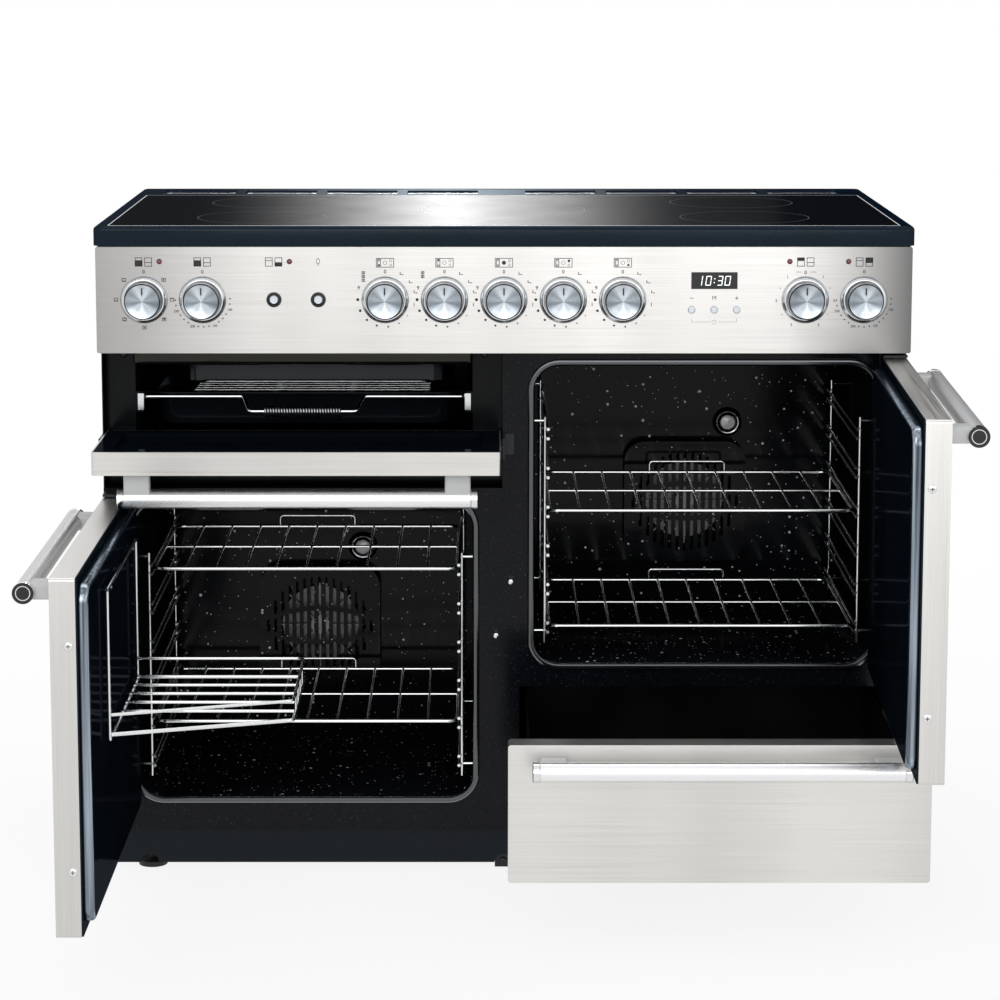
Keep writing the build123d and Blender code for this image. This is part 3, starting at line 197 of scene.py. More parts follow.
def easeEdges(node, width, material, segments=2):
    # a copy of a node to finish, its sharp edges broken where a width is given
    source = nodes[node]
    piece = bpy.data.objects.new(node + "_finished", source.data.copy())
    bpy.context.collection.objects.link(piece)
    editAll(piece)
    bpy.ops.mesh.customdata_custom_splitnormals_clear()
    bpy.ops.mesh.remove_doubles(threshold=5e-6)
    clearSelection()
    if width:
        bevel = piece.modifiers.new("brokenEdge", "BEVEL")
        bevel.width = width
        bevel.segments = segments
        bevel.limit_method = "ANGLE"
        bevel.angle_limit = math.radians(40)
        bevel.use_clamp_overlap = True
        pick(piece)
        bpy.ops.object.modifier_apply(modifier=bevel.name)
    smooth(piece, 20)
    paint(piece, material)
    return mount(piece, source["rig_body"], [node])


# material parts

def shader(name, values):
    material = bpy.data.materials.new(name)
    material.use_nodes = True
    surface = material.node_tree.nodes["Principled BSDF"]
    for socket, value in values.items():
        surface.inputs[socket].default_value = value
    return material, material.node_tree, surface


def addNode(tree, kind, settings=None, feeds=None):
    node = tree.nodes.new("ShaderNode" + kind)
    for key, value in (settings or {}).items():
        setattr(node, key, value)
    for socket, value in (feeds or {}).items():
        if isinstance(value, bpy.types.NodeSocket):
            tree.links.new(value, node.inputs[socket])
        else:
            node.inputs[socket].default_value = value
    return node


def feed(surface, socket, value):
    surface.id_data.links.new(value, surface.inputs[socket])


def objectPlace(tree, scale=(1, 1, 1), turn=(0, 0, 0), shift=(0, 0, 0)):
    place = addNode(tree, "TexCoord")
    feeds = {"Vector": place.outputs["Object"], "Scale": scale, "Rotation": turn, "Location": shift}
    return addNode(tree, "Mapping", feeds=feeds).outputs["Vector"]


def noise(tree, place, scale=1.0, detail=3.0, rough=0.5):
    feeds = {"Vector": place, "Scale": scale, "Detail": detail, "Roughness": rough}
    return addNode(tree, "TexNoise", feeds=feeds).outputs["Fac"]


def maths(tree, operation, first, second=0.0):
    return addNode(tree, "Math", {"operation": operation}, {0: first, 1: second}).outputs["Value"]


def spread(tree, value, low, high, fromLow=0.0, fromHigh=1.0):  # a value stretched to a new range
    feeds = {"Value": value, "From Min": fromLow, "From Max": fromHigh, "To Min": low, "To Max": high}
    return addNode(tree, "MapRange", feeds=feeds).outputs["Result"]


def axes(tree, place):  # the three parts of a place
    return addNode(tree, "SeparateXYZ", feeds={0: place}).outputs


def blendColour(tree, share, first, second):
    feeds = {0: share, 6: first, 7: second}
    return addNode(tree, "Mix", {"data_type": "RGBA"}, feeds).outputs[2]


def bump(tree, surface, height, strength, distance):
    feeds = {"Height": height, "Strength": strength, "Distance": distance}
    feed(surface, "Normal", addNode(tree, "Bump", feeds=feeds).outputs["Normal"])


def colour(red, green, blue):
    return (red, green, blue, 1.0)


def darker(base, share):
    return colour(*(share * part for part in base[:3]))


# finishes

steelLook = {
    "pale": colour(0.735, 0.722, 0.70),
    "deep": colour(0.53, 0.52, 0.505),
    "shade": colour(0.13, 0.13, 0.13),
    "fasciaPale": colour(0.84, 0.82, 0.80),
    "alongGrain": 4.0,
    "acrossGrain": 780.0,
    "bands": (1.7, 0.25, 0.25),
    "streakShare": 0.30,
    "bandShare": 0.70,
    "tone": (0.32, 0.66),
    "roughness": (0.27, 0.40),
    "fasciaEndShade": [(1, 0.38, 0.54, 0.96), (-1, 0.32, 0.56, 0.68)],  # side, start, end and depth of the painted shade towards each end
}


def brushedSteel(name, grain, turn=0.0, ends=(), pale=steelLook["pale"]):
    # fine scratches along the grain over broad soft bands, as a long brushed sheet shows them
    material, tree, surface = shader(name, {"Metallic": 1.0, "Roughness": 0.34})
    scale = [steelLook["acrossGrain"]] * 3
    scale["XYZ".index(grain)] = steelLook["alongGrain"]
    turned = objectPlace(tree, turn=(0, 0, turn))
    stretched = addNode(tree, "Mapping", feeds={"Vector": turned, "Scale": scale}).outputs["Vector"]
    streaks = noise(tree, stretched, 1.0, 3.0, 0.6)
    bands = noise(tree, objectPlace(tree, scale=steelLook["bands"]), 2.0, 2.0)
    mixed = maths(tree, "ADD", maths(tree, "MULTIPLY", streaks, steelLook["streakShare"]),
                  maths(tree, "MULTIPLY", bands, steelLook["bandShare"]))
    metal = blendColour(tree, spread(tree, mixed, 0.0, 1.0, *steelLook["tone"]), steelLook["deep"], pale)
    # painted shade: the sheet darkens towards the given ends
    for side, start, stop, depth in ends:
        across = maths(tree, "MULTIPLY", axes(tree, objectPlace(tree))[0], side)
        metal = blendColour(tree, spread(tree, across, 0.0, depth, start, stop), metal, steelLook["shade"])
    feed(surface, "Base Color", metal)
    feed(surface, "Roughness", spread(tree, streaks, *steelLook["roughness"], 0.3, 0.7))
    bump(tree, surface, streaks, 0.05, 0.0002)
    return material


def mixShaders(tree, share, first, second):
    mixed = addNode(tree, "MixShader", feeds={0: share, 1: first.outputs[0], 2: second.outputs[0]})
    tree.links.new(mixed.outputs[0], tree.nodes["Material Output"].inputs["Surface"])


def darkGround(name, base):  # a matt ground for a reflection laid over it
    return shader(name, {"Base Color": base, "Roughness": 0.6, "Specular IOR Level": 0.0})


def thinMirror(tree, surface, share, tint, roughness, normal=None):
    # a faint even reflection laid over a dark ground
    gloss = addNode(tree, "BsdfGlossy", feeds={"Color": tint, "Roughness": roughness})
    if normal:
        tree.links.new(normal, gloss.inputs["Normal"])
    mixShaders(tree, share, surface, gloss)


def enamel(name, base, mirror, roughness, tint=colour(1, 1, 1), flecks=()):
    # vitreous enamel: a faint orange peel, and pale flecks of frit in layers
    # each layer is (cells to a metre, share of them, size in a cell, colour)
    material, tree, surface = darkGround(name, base)
    place = objectPlace(tree)
    tone = noise(tree, place, 9.0, 3.0)
    ground = blendColour(tree, spread(tree, tone, 0.0, 1.0, 0.3, 0.7), darker(base, 0.7), base)
    for scale, share, size, fleckColour in flecks:
        cells = addNode(tree, "TexVoronoi", feeds={"Vector": place, "Scale": scale})
        chance = addNode(tree, "SeparateColor", feeds={0: cells.outputs["Color"]}).outputs[0]
        reach = spread(tree, chance, 0.0, size, 1.0 - share, 1.0)
        dot = maths(tree, "LESS_THAN", cells.outputs["Distance"], reach)
        ground = blendColour(tree, dot, ground, fleckColour)
    feed(surface, "Base Color", ground)
    peel = addNode(tree, "Bump", feeds={
        "Height": noise(tree, place, 120.0, 2.0), "Strength": 0.04, "Distance": 0.001}).outputs["Normal"]
    feed(surface, "Normal", peel)
    if isinstance(mirror, tuple):  # head on and edge on
        facing = addNode(tree, "LayerWeight", feeds={"Blend": 0.5}).outputs["Facing"]
        mirror = spread(tree, facing, *mirror, 0.12, 0.92)
    haze = spread(tree, tone, 0.8 * roughness, 1.3 * roughness, 0.3, 0.7)
    thinMirror(tree, surface, mirror, tint, haze, peel)
    return material


rimLook = {
    "base": colour(0.010, 0.016, 0.024),
    "tint": colour(0.74, 0.86, 1.0),
    "shares": (0.08, 0.55),
    "foot": (3.0 * mm, 5.0 * mm),  # how far above the skin the reflections start
    "flat": 0.985,  # faces squarer to the door than this stay plain
}


def linerRim(name, turn, side, plane):
    # the rounded rim of a door liner: long pale reflections run along it, but not down at the skin
    base = rimLook["base"]
    material, tree, surface = darkGround(name, base)
    runs = noise(tree, objectPlace(tree, scale=(140.0, 140.0, 3.0)), 1.0, 3.0, 0.6)
    shade = noise(tree, objectPlace(tree), 400.0, 2.0)
    feed(surface, "Base Color", blendColour(tree, shade, darker(base, 0.6), base))
    across = axes(tree, objectPlace(tree, turn=(0, 0, turn)))[0]
    depth = maths(tree, "MULTIPLY", maths(tree, "SUBTRACT", across, plane), side)
    rise = spread(tree, depth, 0.02, 1.0, *rimLook["foot"])
    share = maths(tree, "MULTIPLY", spread(tree, runs, *rimLook["shares"], 0.32, 0.68), rise)
    thinMirror(tree, surface, share, rimLook["tint"], 0.16)
    return material


def brightMetal(name, base, roughness, grainScale=600.0):
    material, tree, surface = shader(name, {"Base Color": base, "Metallic": 1.0, "Roughness": roughness})
    grain = noise(tree, objectPlace(tree), grainScale, 2.0)
    feed(surface, "Base Color", blendColour(tree, grain, darker(base, 0.86), base))
    haze = spread(tree, grain, 0.75 * roughness, 1.35 * roughness, 0.25, 0.75)
    feed(surface, "Roughness", haze)
    bump(tree, surface, grain, 0.012, 0.0002)
    return material


def galvanisedSheet(name):
    material, tree, surface = shader(name, {"Metallic": 0.9, "Roughness": 0.42})
    cells = addNode(tree, "TexVoronoi", feeds={"Vector": objectPlace(tree), "Scale": 85.0})
    spangle = addNode(tree, "SeparateColor", feeds={0: cells.outputs["Color"]}).outputs[0]
    dull, shiny = colour(0.40, 0.41, 0.42), colour(0.55, 0.56, 0.57)
    feed(surface, "Base Color", blendColour(tree, spangle, dull, shiny))
    feed(surface, "Roughness", spread(tree, spangle, 0.34, 0.5))
    return material


def plainPlastic(name, base, roughness, specular=0.4, grainScale=900.0):
    material, tree, surface = shader(name, {
        "Base Color": base, "Roughness": roughness, "Specular IOR Level": specular})
    grain = noise(tree, objectPlace(tree), grainScale, 3.0)
    feed(surface, "Base Color", blendColour(tree, grain, darker(base, 0.85), base))
    bump(tree, surface, grain, 0.08, 0.0002)
    return material


hobLook = {
    "base": colour(0.004, 0.005, 0.007),
    "mark": colour(0.10, 0.105, 0.11),
    "markWidth": 0.7 * mm,
    # rim and its width: a pale band painted round the glass's edge as a highlight
    "rim": colour(0.72, 0.73, 0.75),
    "edgeHighlightWidth": 2.6 * mm,
    "mirror": (0.030, 0.008),  # painted reflection: mirror share in the middle and towards the ends, like a softbox mirrored across the glass
    "paintedReflectionReach": (0.10, 0.42),
    "zones": [(-0.330, -0.115, 0.088), (-0.330, 0.115, 0.088), (0.0, 0.0, 0.115),
              (0.330, -0.115, 0.088), (0.330, 0.115, 0.088)],  # from the middle of the glass
}


def hobPlate(name):
    # black ceramic glass with a thin printed ring for each cooking zone, a painted highlight round its edge
    # and a painted reflection across its middle
    material, tree, surface = shader(name, {
        "Base Color": hobLook["base"], "Roughness": 0.3, "Specular IOR Level": 0.0})
    low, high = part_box("hob_glass")
    middle = (low + high) / 2
    place = addNode(tree, "TexCoord").outputs["Object"]
    nearest = None
    for x, y, radius in hobLook["zones"]:
        away = addNode(tree, "VectorMath", {"operation": "DISTANCE"}, {
            0: place, 1: (middle.x + x, middle.y + y, high.z)}).outputs["Value"]
        gap = maths(tree, "ABSOLUTE", maths(tree, "SUBTRACT", away, radius))
        nearest = maths(tree, "MINIMUM", nearest, gap) if nearest else gap
    ring = maths(tree, "LESS_THAN", nearest, hobLook["markWidth"])
    printedGlass = blendColour(tree, ring, hobLook["base"], hobLook["mark"])
    fromMiddle = axes(tree, objectPlace(tree, shift=-middle))
    aside, along = (maths(tree, "ABSOLUTE", fromMiddle[i]) for i in (0, 1))
    pastX = maths(tree, "SUBTRACT", aside, (high - low).x / 2)
    pastY = maths(tree, "SUBTRACT", along, (high - low).y / 2)
    past = maths(tree, "MAXIMUM", pastX, pastY)
    rim = maths(tree, "GREATER_THAN", past, -hobLook["edgeHighlightWidth"])  # a pale band painted round the glass's edge as a highlight
    feed(surface, "Base Color", blendColour(tree, rim, printedGlass, hobLook["rim"]))
    haze = noise(tree, objectPlace(tree), 14.0, 4.0)
    # painted reflection: more mirror across the middle of the glass than at its ends
    softboxReflection = spread(tree, aside, *hobLook["mirror"], *hobLook["paintedReflectionReach"])
    thinMirror(tree, surface, softboxReflection, colour(1, 1, 1), spread(tree, haze, 0.18, 0.23, 0.3, 0.7))
    return material


def glow(name, base, strength):
    material, tree, surface = shader(name, {
        "Base Color": base, "Emission Color": base, "Emission Strength": strength, "Roughness": 0.4})
    flicker = noise(tree, objectPlace(tree), 300.0, 1.0)
    feed(surface, "Base Color", blendColour(tree, flicker, darker(base, 0.94), base))
    return material


def lampGlass(name, base, transmission, roughness):
    material, tree, surface = shader(name, {
        "Base Color": base, "Transmission Weight": transmission, "Roughness": roughness, "Coat Weight": 1.0})
    bump(tree, surface, noise(tree, objectPlace(tree), 400.0, 1.0), 0.1, 0.0004)
    return material


def turnedFace(name):
    # spun aluminium: fine rings round the axis and the bow tie of light that they throw
    # it reads the knob's own map of angle and radius
    material, tree, surface = shader(name, {"Metallic": 1.0, "Roughness": 0.3})
    polar = axes(tree, addNode(tree, "UVMap", {"uv_map": "turned"}).outputs["UV"])
    angle, radius = polar[0], polar[1]
    twice = maths(tree, "MULTIPLY", angle, 4 * math.pi)
    fans = maths(tree, "SINE", maths(tree, "SUBTRACT", twice, math.pi / 2))  # bright at the top and the foot
    fine = maths(tree, "SINE", maths(tree, "MULTIPLY", angle, 14 * math.pi))
    rings = noise(tree, addNode(tree, "CombineXYZ", feeds={1: radius}).outputs[0], 90.0, 3.0)
    light = maths(tree, "ADD", maths(tree, "MULTIPLY", fans, 0.30), maths(tree, "MULTIPLY", fine, 0.14))
    share = maths(tree, "ADD", maths(tree, "ADD", light, 0.3), maths(tree, "MULTIPLY", rings, 0.4))
    dark, pale = colour(0.14, 0.17, 0.20), colour(0.68, 0.73, 0.78)
    feed(surface, "Base Color", blendColour(tree, share, dark, pale))
    feed(surface, "Roughness", spread(tree, rings, 0.22, 0.38, 0.3, 0.7))
    bump(tree, surface, rings, 0.1, 0.0002)
    return material


steel = brushedSteel("brushedSteel", "X")
fasciaSteel = brushedSteel("brushedSteelFascia", "X", 0.0, steelLook["fasciaEndShade"], steelLook["fasciaPale"])
edgeSteel = brushedSteel("brushedSteelEdge", "Z")
doorSteelLeft = brushedSteel("brushedSteelLeftDoor", "Y")
doorSteelRight = brushedSteel("brushedSteelRightDoor", "Y", rightTurn)
blackEnamel = enamel("blackEnamel", colour(0.004, 0.005, 0.007), 0.012, 0.14, flecks=[
    (300.0, 0.22, 0.28, colour(0.045, 0.05, 0.06)), (620.0, 0.35, 0.32, colour(0.05, 0.055, 0.065))])
doorEnamel = enamel("doorEnamel", colour(0.003, 0.005, 0.008), 0.018, 0.08, colour(0.72, 0.86, 1.0))
ovenEnamel = enamel("ovenEnamel", colour(0.004, 0.005, 0.007), 0.010, 0.12, flecks=[
    (95.0, 0.30, 0.21, colour(0.80, 0.82, 0.85)), (240.0, 0.16, 0.28, colour(0.55, 0.57, 0.60))])
grillEnamel = enamel("grillEnamel", colour(0.006, 0.006, 0.006), 0.03, 0.12, colour(0.95, 0.93, 0.80))
grillBlack = enamel("grillBlack", colour(0.004, 0.005, 0.006), 0.010, 0.16)
panEnamel = enamel("panEnamel", colour(0.005, 0.006, 0.008), (0.012, 0.60), 0.10, colour(0.85, 0.93, 1.0))
sealLip = enamel("sealLip", colour(0.006, 0.006, 0.007), (0.02, 1.0), 0.16, colour(0.9, 0.95, 1.0))
# a glossier copy of the seal's enamel for its crest: a painted highlight
sealCrestHighlight = enamel("sealCrestHighlight", colour(0.008, 0.008, 0.009), (0.11, 0.6), 0.16, colour(0.9, 0.95, 1.0))
drawerBlack = enamel("drawerBlack", colour(0.006, 0.006, 0.007), 0.015, 0.3)
hobEnamel = enamel("hobEnamel", colour(0.004, 0.010, 0.020), 0.014, 0.10, colour(0.75, 0.88, 1.0))
plinthBlack = enamel("plinthBlack", colour(0.010, 0.013, 0.016), 0.014, 0.22, colour(0.85, 0.93, 1.0))
hobGlass = hobPlate("hobGlass")
# the glass's bevel as bright metal: a painted highlight
glassEdgeHighlight = brightMetal("paintedGlassEdgeHighlight", colour(0.92, 0.93, 0.94), 0.3)
galvanised = galvanisedSheet("galvanisedSheet")
ventSteel = brightMetal("ventSteel", colour(0.62, 0.63, 0.64), 0.3, 500.0)
chrome = brightMetal("chromeWire", colour(0.80, 0.81, 0.82), 0.13, 300.0)
darkChrome = brightMetal("darkChrome", colour(0.34, 0.35, 0.37), 0.16, 300.0)
satin = brightMetal("satinAluminium", colour(0.93, 0.93, 0.935), 0.30, 900.0)
# a darker copy of the satin aluminium for the door handles: painted shade
shadedDoorSatin = brightMetal("satinDoorHandleShaded", colour(0.60, 0.605, 0.615), 0.42, 900.0)
greyPaint = plainPlastic("paleGreyPaint", colour(0.62, 0.625, 0.63), 0.45)
zinc = brightMetal("zincPlate", colour(0.60, 0.60, 0.58), 0.30, 240.0)
darkZinc = brightMetal("darkZinc", colour(0.035, 0.036, 0.04), 0.34, 240.0)
bezelMetal = brightMetal("bezelMetal", colour(0.68, 0.70, 0.72), 0.20, 900.0)
gold = brightMetal("yellowPassivate", colour(0.72, 0.52, 0.22), 0.28, 240.0)
sheath = brightMetal("elementSheath", colour(0.22, 0.21, 0.20), 0.42, 240.0)
board = plainPlastic("darkMoulding", colour(0.02, 0.022, 0.022), 0.5)
rubber = plainPlastic("blackPlastic", colour(0.012, 0.012, 0.013), 0.45)
lens = plainPlastic("clockLens", colour(0.018, 0.017, 0.018), 0.12, 0.5)
redLens = lampGlass("redLens", colour(0.17, 0.004, 0.009), 0.15, 0.18)
ovenLampGlass = lampGlass("ovenLampGlass", colour(0.85, 0.86, 0.84), 0.1, 0.10)
pearl = brightMetal("pearlButton", colour(0.62, 0.66, 0.70), 0.28, 700.0)
ink = plainPlastic("printedInk", colour(0.02, 0.02, 0.022), 0.6)
paleInk = plainPlastic("paleInk", colour(0.30, 0.29, 0.28), 0.6)
segmentLight = glow("clockSegments", colour(0.86, 0.92, 0.93), 0.75)
turned = turnedFace("turnedAluminium")

finishes = {
    "stainless": steel, "black_enamel": blackEnamel, "speckled_enamel": ovenEnamel,
    "drawer_black": drawerBlack, "hob_enamel": hobEnamel, "hob_glass": hobGlass, "galvanised": galvanised,
    "chrome_wire": chrome, "satin_metal": satin, "zinc_steel": zinc, "seal": sealLip, "board": board,
    "clock_lens": lens, "lamp_red": redLens, "lamp_glass": ovenLampGlass, "button_white": pearl,
}
ownFinish = {  # where a node's finish is not its slot's
    "grill_door_liner": doorEnamel, "grill_pan": panEnamel, "control_panel": fasciaSteel,
    "plinth": plinthBlack, "grill_cavity": grillBlack, "heating_elements": sheath, "levelling_feet": rubber,
    "base_tray": blackEnamel, "left_oven_fan": sheath, "right_oven_fan": sheath,
}
for nodeName, node in nodes.items():
    for slotHolder in node.material_slots:
        slotHolder.material = ownFinish.get(nodeName, finishes[slotHolder.material.name])
print("finishes made and put on the frame")


# folded steel, seals, hinges, hob, liners and grill carriage

foldRadius = 1.2 * mm
foldedSheets = {"drawer_front": steel, "grill_door_skin": steel,
                "left_door_skin": doorSteelLeft, "right_door_skin": doorSteelRight}
for nodeName, material in foldedSheets.items():
    sheet = easeEdges(nodeName, foldRadius, material)
    if material in (doorSteelLeft, doorSteelRight):  # the grain runs up the narrow edges
        paintFaces(sheet, edgeSteel, lambda face: abs(face.normal.y) > 0.9)
sealLook = {"round": 3.2 * mm, "crest": 0.86}  # its crest is what looks to the front, given a glossier finish as a painted highlight line
seals = easeEdges("oven_door_seals", sealLook["round"], sealLip, 4)
paintFaces(seals, sealCrestHighlight, lambda face: face.normal.y < -sealLook["crest"])
hinges = easeEdges("door_hinges", 0, darkZinc)
catchSide, catchTop = 60 * mm, 580 * mm  # the roller catches stand on the middle post, under the grill
paintFaces(hinges, chrome, lambda face: abs(face.center.x) < catchSide and face.center.z < catchTop)
glassPlate = easeEdges("hob_glass", 0, hobGlass)
paintFaces(glassPlate, glassEdgeHighlight, lambda face: 0.1 < face.normal.z < 0.95)  # its bevel, painted bright metal as a highlight
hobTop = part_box("hob_surround")[1].z
surround = easeEdges("hob_surround", 0, hobEnamel)
ventDepth = (1.5 * mm, 4.0 * mm)  # the floors of the vent recesses are bare steel
paintFaces(surround, ventSteel, lambda face: face.normal.z > 0.9
           and ventDepth[0] < hobTop - face.center.z < ventDepth[1])
for nodeName, turn, side in (("left_door_liner", 0.0, 1), ("right_door_liner", rightTurn, -1)):
    liner = easeEdges(nodeName, 0, doorEnamel)
    straight = Vector((math.cos(turn), -math.sin(turn), 0))  # square to the door as it stands open
    plane = side * min(side * straight.dot(v.co) for v in liner.data.vertices)
    rim = linerRim(nodeName + "Rim", turn, side, plane)
    paintFaces(liner, rim, lambda face: abs(straight.dot(face.normal)) < rimLook["flat"])
gripLook = {"wound": 8.2 * mm, "sleeve": 5.7 * mm, "half": 54 * mm}  # the grill carriage's coil grip
carriage = easeEdges("grill_carriage", 0, chrome)
carriageLow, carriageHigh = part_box("grill_carriage")
foremost = [v.co.z for v in carriage.data.vertices if v.co.y < carriageLow.y + 0.5 * mm]
gripX, gripY = (carriageLow.x + carriageHigh.x) / 2, carriageLow.y + gripLook["wound"]
gripZ = (min(foremost) + max(foremost)) / 2


def fromGrip(face):
    out = math.hypot(face.center.y - gripY, face.center.z - gripZ)
    return out if abs(face.center.x - gripX) < gripLook["half"] else math.inf


paintFaces(carriage, darkChrome,
           lambda face: gripLook["sleeve"] < fromGrip(face) < gripLook["wound"] + 1 * mm)
paintFaces(carriage, rubber, lambda face: fromGrip(face) <= gripLook["sleeve"])
print("folded steel, liners, hob and grip done")


# knobs

knobLook = {
    "radius": 24 * mm,
    "length": 26 * mm,
    "gap": 1 * mm,
    "dish": 1.0 * mm,
    "rim": 1.6 * mm,
    "bandRadius": 23.2 * mm,  # the black ring at the foot
    "bandTop": 8.5 * mm,
    "pointer": (1.9 * mm, 9.6 * mm),
    "pointerEdge": 5.6 * mm,
    "steps": 96,
}
knobNames = [name for name in nodes if name.endswith("_knob")]


def knobMap(piece):  # angle and radius round the axis, for the turned finish
    layer = piece.data.uv_layers.new(name="turned")
    for face in piece.data.polygons:
        faceAngle = math.atan2(face.center.z, face.center.x)
        for loopIndex in face.loop_indices:
            point = piece.data.vertices[piece.data.loops[loopIndex].vertex_index].co
            radius = math.hypot(point.x, point.z)
            angle = math.atan2(point.z, point.x) if radius > 1e-6 else faceAngle
            if angle - faceAngle > math.pi:
                angle -= 2 * math.pi
            if angle - faceAngle < -math.pi:
                angle += 2 * math.pi
            layer.data[loopIndex].uv = (angle / (2 * math.pi), radius / knobLook["radius"])


def makeKnob():  # round the origin, with the fascia at Y 0
    radius, tip, rim = knobLook["radius"], -knobLook["length"], knobLook["rim"]
    foot, band, bandTop = -knobLook["gap"], knobLook["bandRadius"], -knobLook["bandTop"]
    floor, dish = tip + 0.3 * mm, knobLook["dish"]
    outline = [(0, foot), (band, foot), (band, bandTop), (radius - 0.3 * mm, bandTop),
               (radius, bandTop - 0.4 * mm), (radius, tip + rim), (radius - 0.45 * rim, tip + 0.35 * rim),
               (radius - rim, tip), (radius - rim - 0.8 * mm, floor), (0.5 * radius, floor + 0.55 * dish),
               (0, floor + dish)]
    body = lathe(outline, (0, 0, 0), "Y", knobLook["steps"])
    knobMap(body)
    paint(body, turned)
    paintFaces(body, rubber, lambda face: face.center.y > bandTop - 0.1 * mm)
    paintFaces(body, ink, lambda face: face.center.y < tip + rim  # a black line round the face
               and math.hypot(face.center.x, face.center.z) > radius - rim)
    smooth(body, 28)
    width, reach = knobLook["pointer"]
    top = radius - knobLook["pointerEdge"]
    pointer = roundedBlock((-width / 2, tip + 0.35 * mm, top - reach), (width / 2, tip + 2 * mm, top),
                           0.25 * mm)
    paint(pointer, ink)
    return joined([body, pointer], "knobMaster")


knobMaster = makeKnob()
for nodeName in knobNames:
    knob = copyOf(knobMaster, Matrix.Translation(dialCentre(nodeName)))
    knob.name = nodeName + "_turned"
    mount(knob, nodes[nodeName]["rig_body"], [nodeName])
bpy.data.objects.remove(knobMaster)
print("knobs done:", len(knobNames))


# bezels round the knobs and collars round the push buttons

bezelLook = {"inner": 25.5 * mm, "outer": 31.5 * mm, "height": 7 * mm, "lip": 2 * mm, "collar": 10 * mm,
             "collarHole": 6.0 * mm, "collarHeight": 3 * mm}

inner, outer, height, lip = (bezelLook[key] for key in ("inner", "outer", "height", "lip"))
bezelOutline = [(inner, 0), (outer, 0), (outer, -0.7 * lip), (outer - 0.5 * mm, -lip),
                (inner + lip + 0.3 * mm, -height + 0.4 * mm), (inner + lip - 0.6 * mm, -height),
                (inner + 0.5 * mm, -height), (inner, -height + 0.5 * mm), (inner, 0)]
bezelMaster = dressed(lathe(bezelOutline, (0, 0, 0), "Y", 96), bezelMetal)
bezels = [copyOf(bezelMaster, Matrix.Translation(dialCentre(name))) for name in knobNames]
mount(joined(bezels, "dial_bezels"), "cabinet", ["dial_rings"])
bpy.data.objects.remove(bezelMaster)
hole, rim, rise = (bezelLook[key] for key in ("collarHole", "collar", "collarHeight"))
collarOutline = [(hole, 0), (rim, 0), (rim, -rise + 1.0 * mm), (rim - 0.4 * mm, -rise + 0.3 * mm),
                 (rim - 1.0 * mm, -rise), (hole + 1.2 * mm, -rise), (hole + 0.2 * mm, -rise + 1.2 * mm),
                 (hole, 0)]
collars = [dressed(lathe(collarOutline, dialCentre(name), "Y", 48), rubber)
           for name in ("drawer_button", "light_button")]
mount(joined(collars, "button_collars"), "cabinet")
print("bezels and collars done")


# handles

handleLook = {
    "half": 228.5 * mm,
    "radius": 12.5 * mm,
    "capLength": 9 * mm,
    "capRadius": 13 * mm,
    "disc": 9.6 * mm,
    "recess": 1.5 * mm,
    "reach": 35.5 * mm,  # from the panel face to the bar's axis
    "postOffset": 211 * mm,
    "postWidth": 34 * mm,
    "postHeight": 20 * mm,
    "postRound": 3.2 * mm,
}


def makeHandle():  # the bar along X at the origin, with the panel face at +Y
    half, radius = handleLook["half"], handleLook["radius"]
    capRadius, disc, recess = handleLook["capRadius"], handleLook["disc"], handleLook["recess"]
    end = half + handleLook["capLength"]
    side = [(0, end - recess), (0.80 * disc, end - recess), (0.84 * disc, end - 0.6 * recess),
            (0.95 * disc, end - 0.6 * recess), (0.98 * disc, end - recess), (disc, end - recess),
            (disc, end - 0.3 * mm), (disc + 0.4 * mm, end), (capRadius - 0.8 * mm, end),
            (capRadius, end - 0.8 * mm), (capRadius, half + 0.4 * mm), (capRadius - 0.4 * mm, half),
            (radius - 0.5 * mm, half - 0.1 * mm), (radius, half - 0.6 * mm)]
    outline = [(r, -x) for r, x in side] + [(r, x) for r, x in reversed(side)]
    bar = lathe(outline, (0, 0, 0), "X", 64)
    paint(bar, satin)
    paintFaces(bar, chrome, lambda face: abs(face.center.x) > half - 0.2 * mm)

    def blackEnd(face):  # all but the thin ring
        out = math.hypot(face.center.y, face.center.z)
        return abs(face.center.x) > end - recess - 0.1 * mm and not 0.81 * disc < out < 0.97 * disc

    paintFaces(bar, rubber, blackEnd)
    smooth(bar, 35)
    width, tall = handleLook["postWidth"] / 2, handleLook["postHeight"] / 2
    reach, offset = handleLook["reach"], handleLook["postOffset"]
    posts = [roundedBlock((x - width, 0, -tall), (x + width, reach, tall), handleLook["postRound"], 4)
             for x in (-offset, offset)]
    return joined([bar, *(dressed(post, greyPaint, 50) for post in posts)], "handleMaster")


def restTurn(jointName, degrees):  # from the shut place to where the door stands open
    pivot = Matrix.Translation(joints[jointName]["pos_m"])
    return pivot @ Matrix.Rotation(math.radians(degrees), 4, joints[jointName]["axis"]) @ pivot.inverted()


def shutBox(nodeName, opening):  # a piece's lowest and highest corners with its door shut
    shut = nodes[nodeName].data.copy()
    shut.transform(opening.inverted())
    corners = [Vector([end(v.co[i] for v in shut.vertices) for i in range(3)]) for end in (min, max)]
    bpy.data.meshes.remove(shut)
    return corners


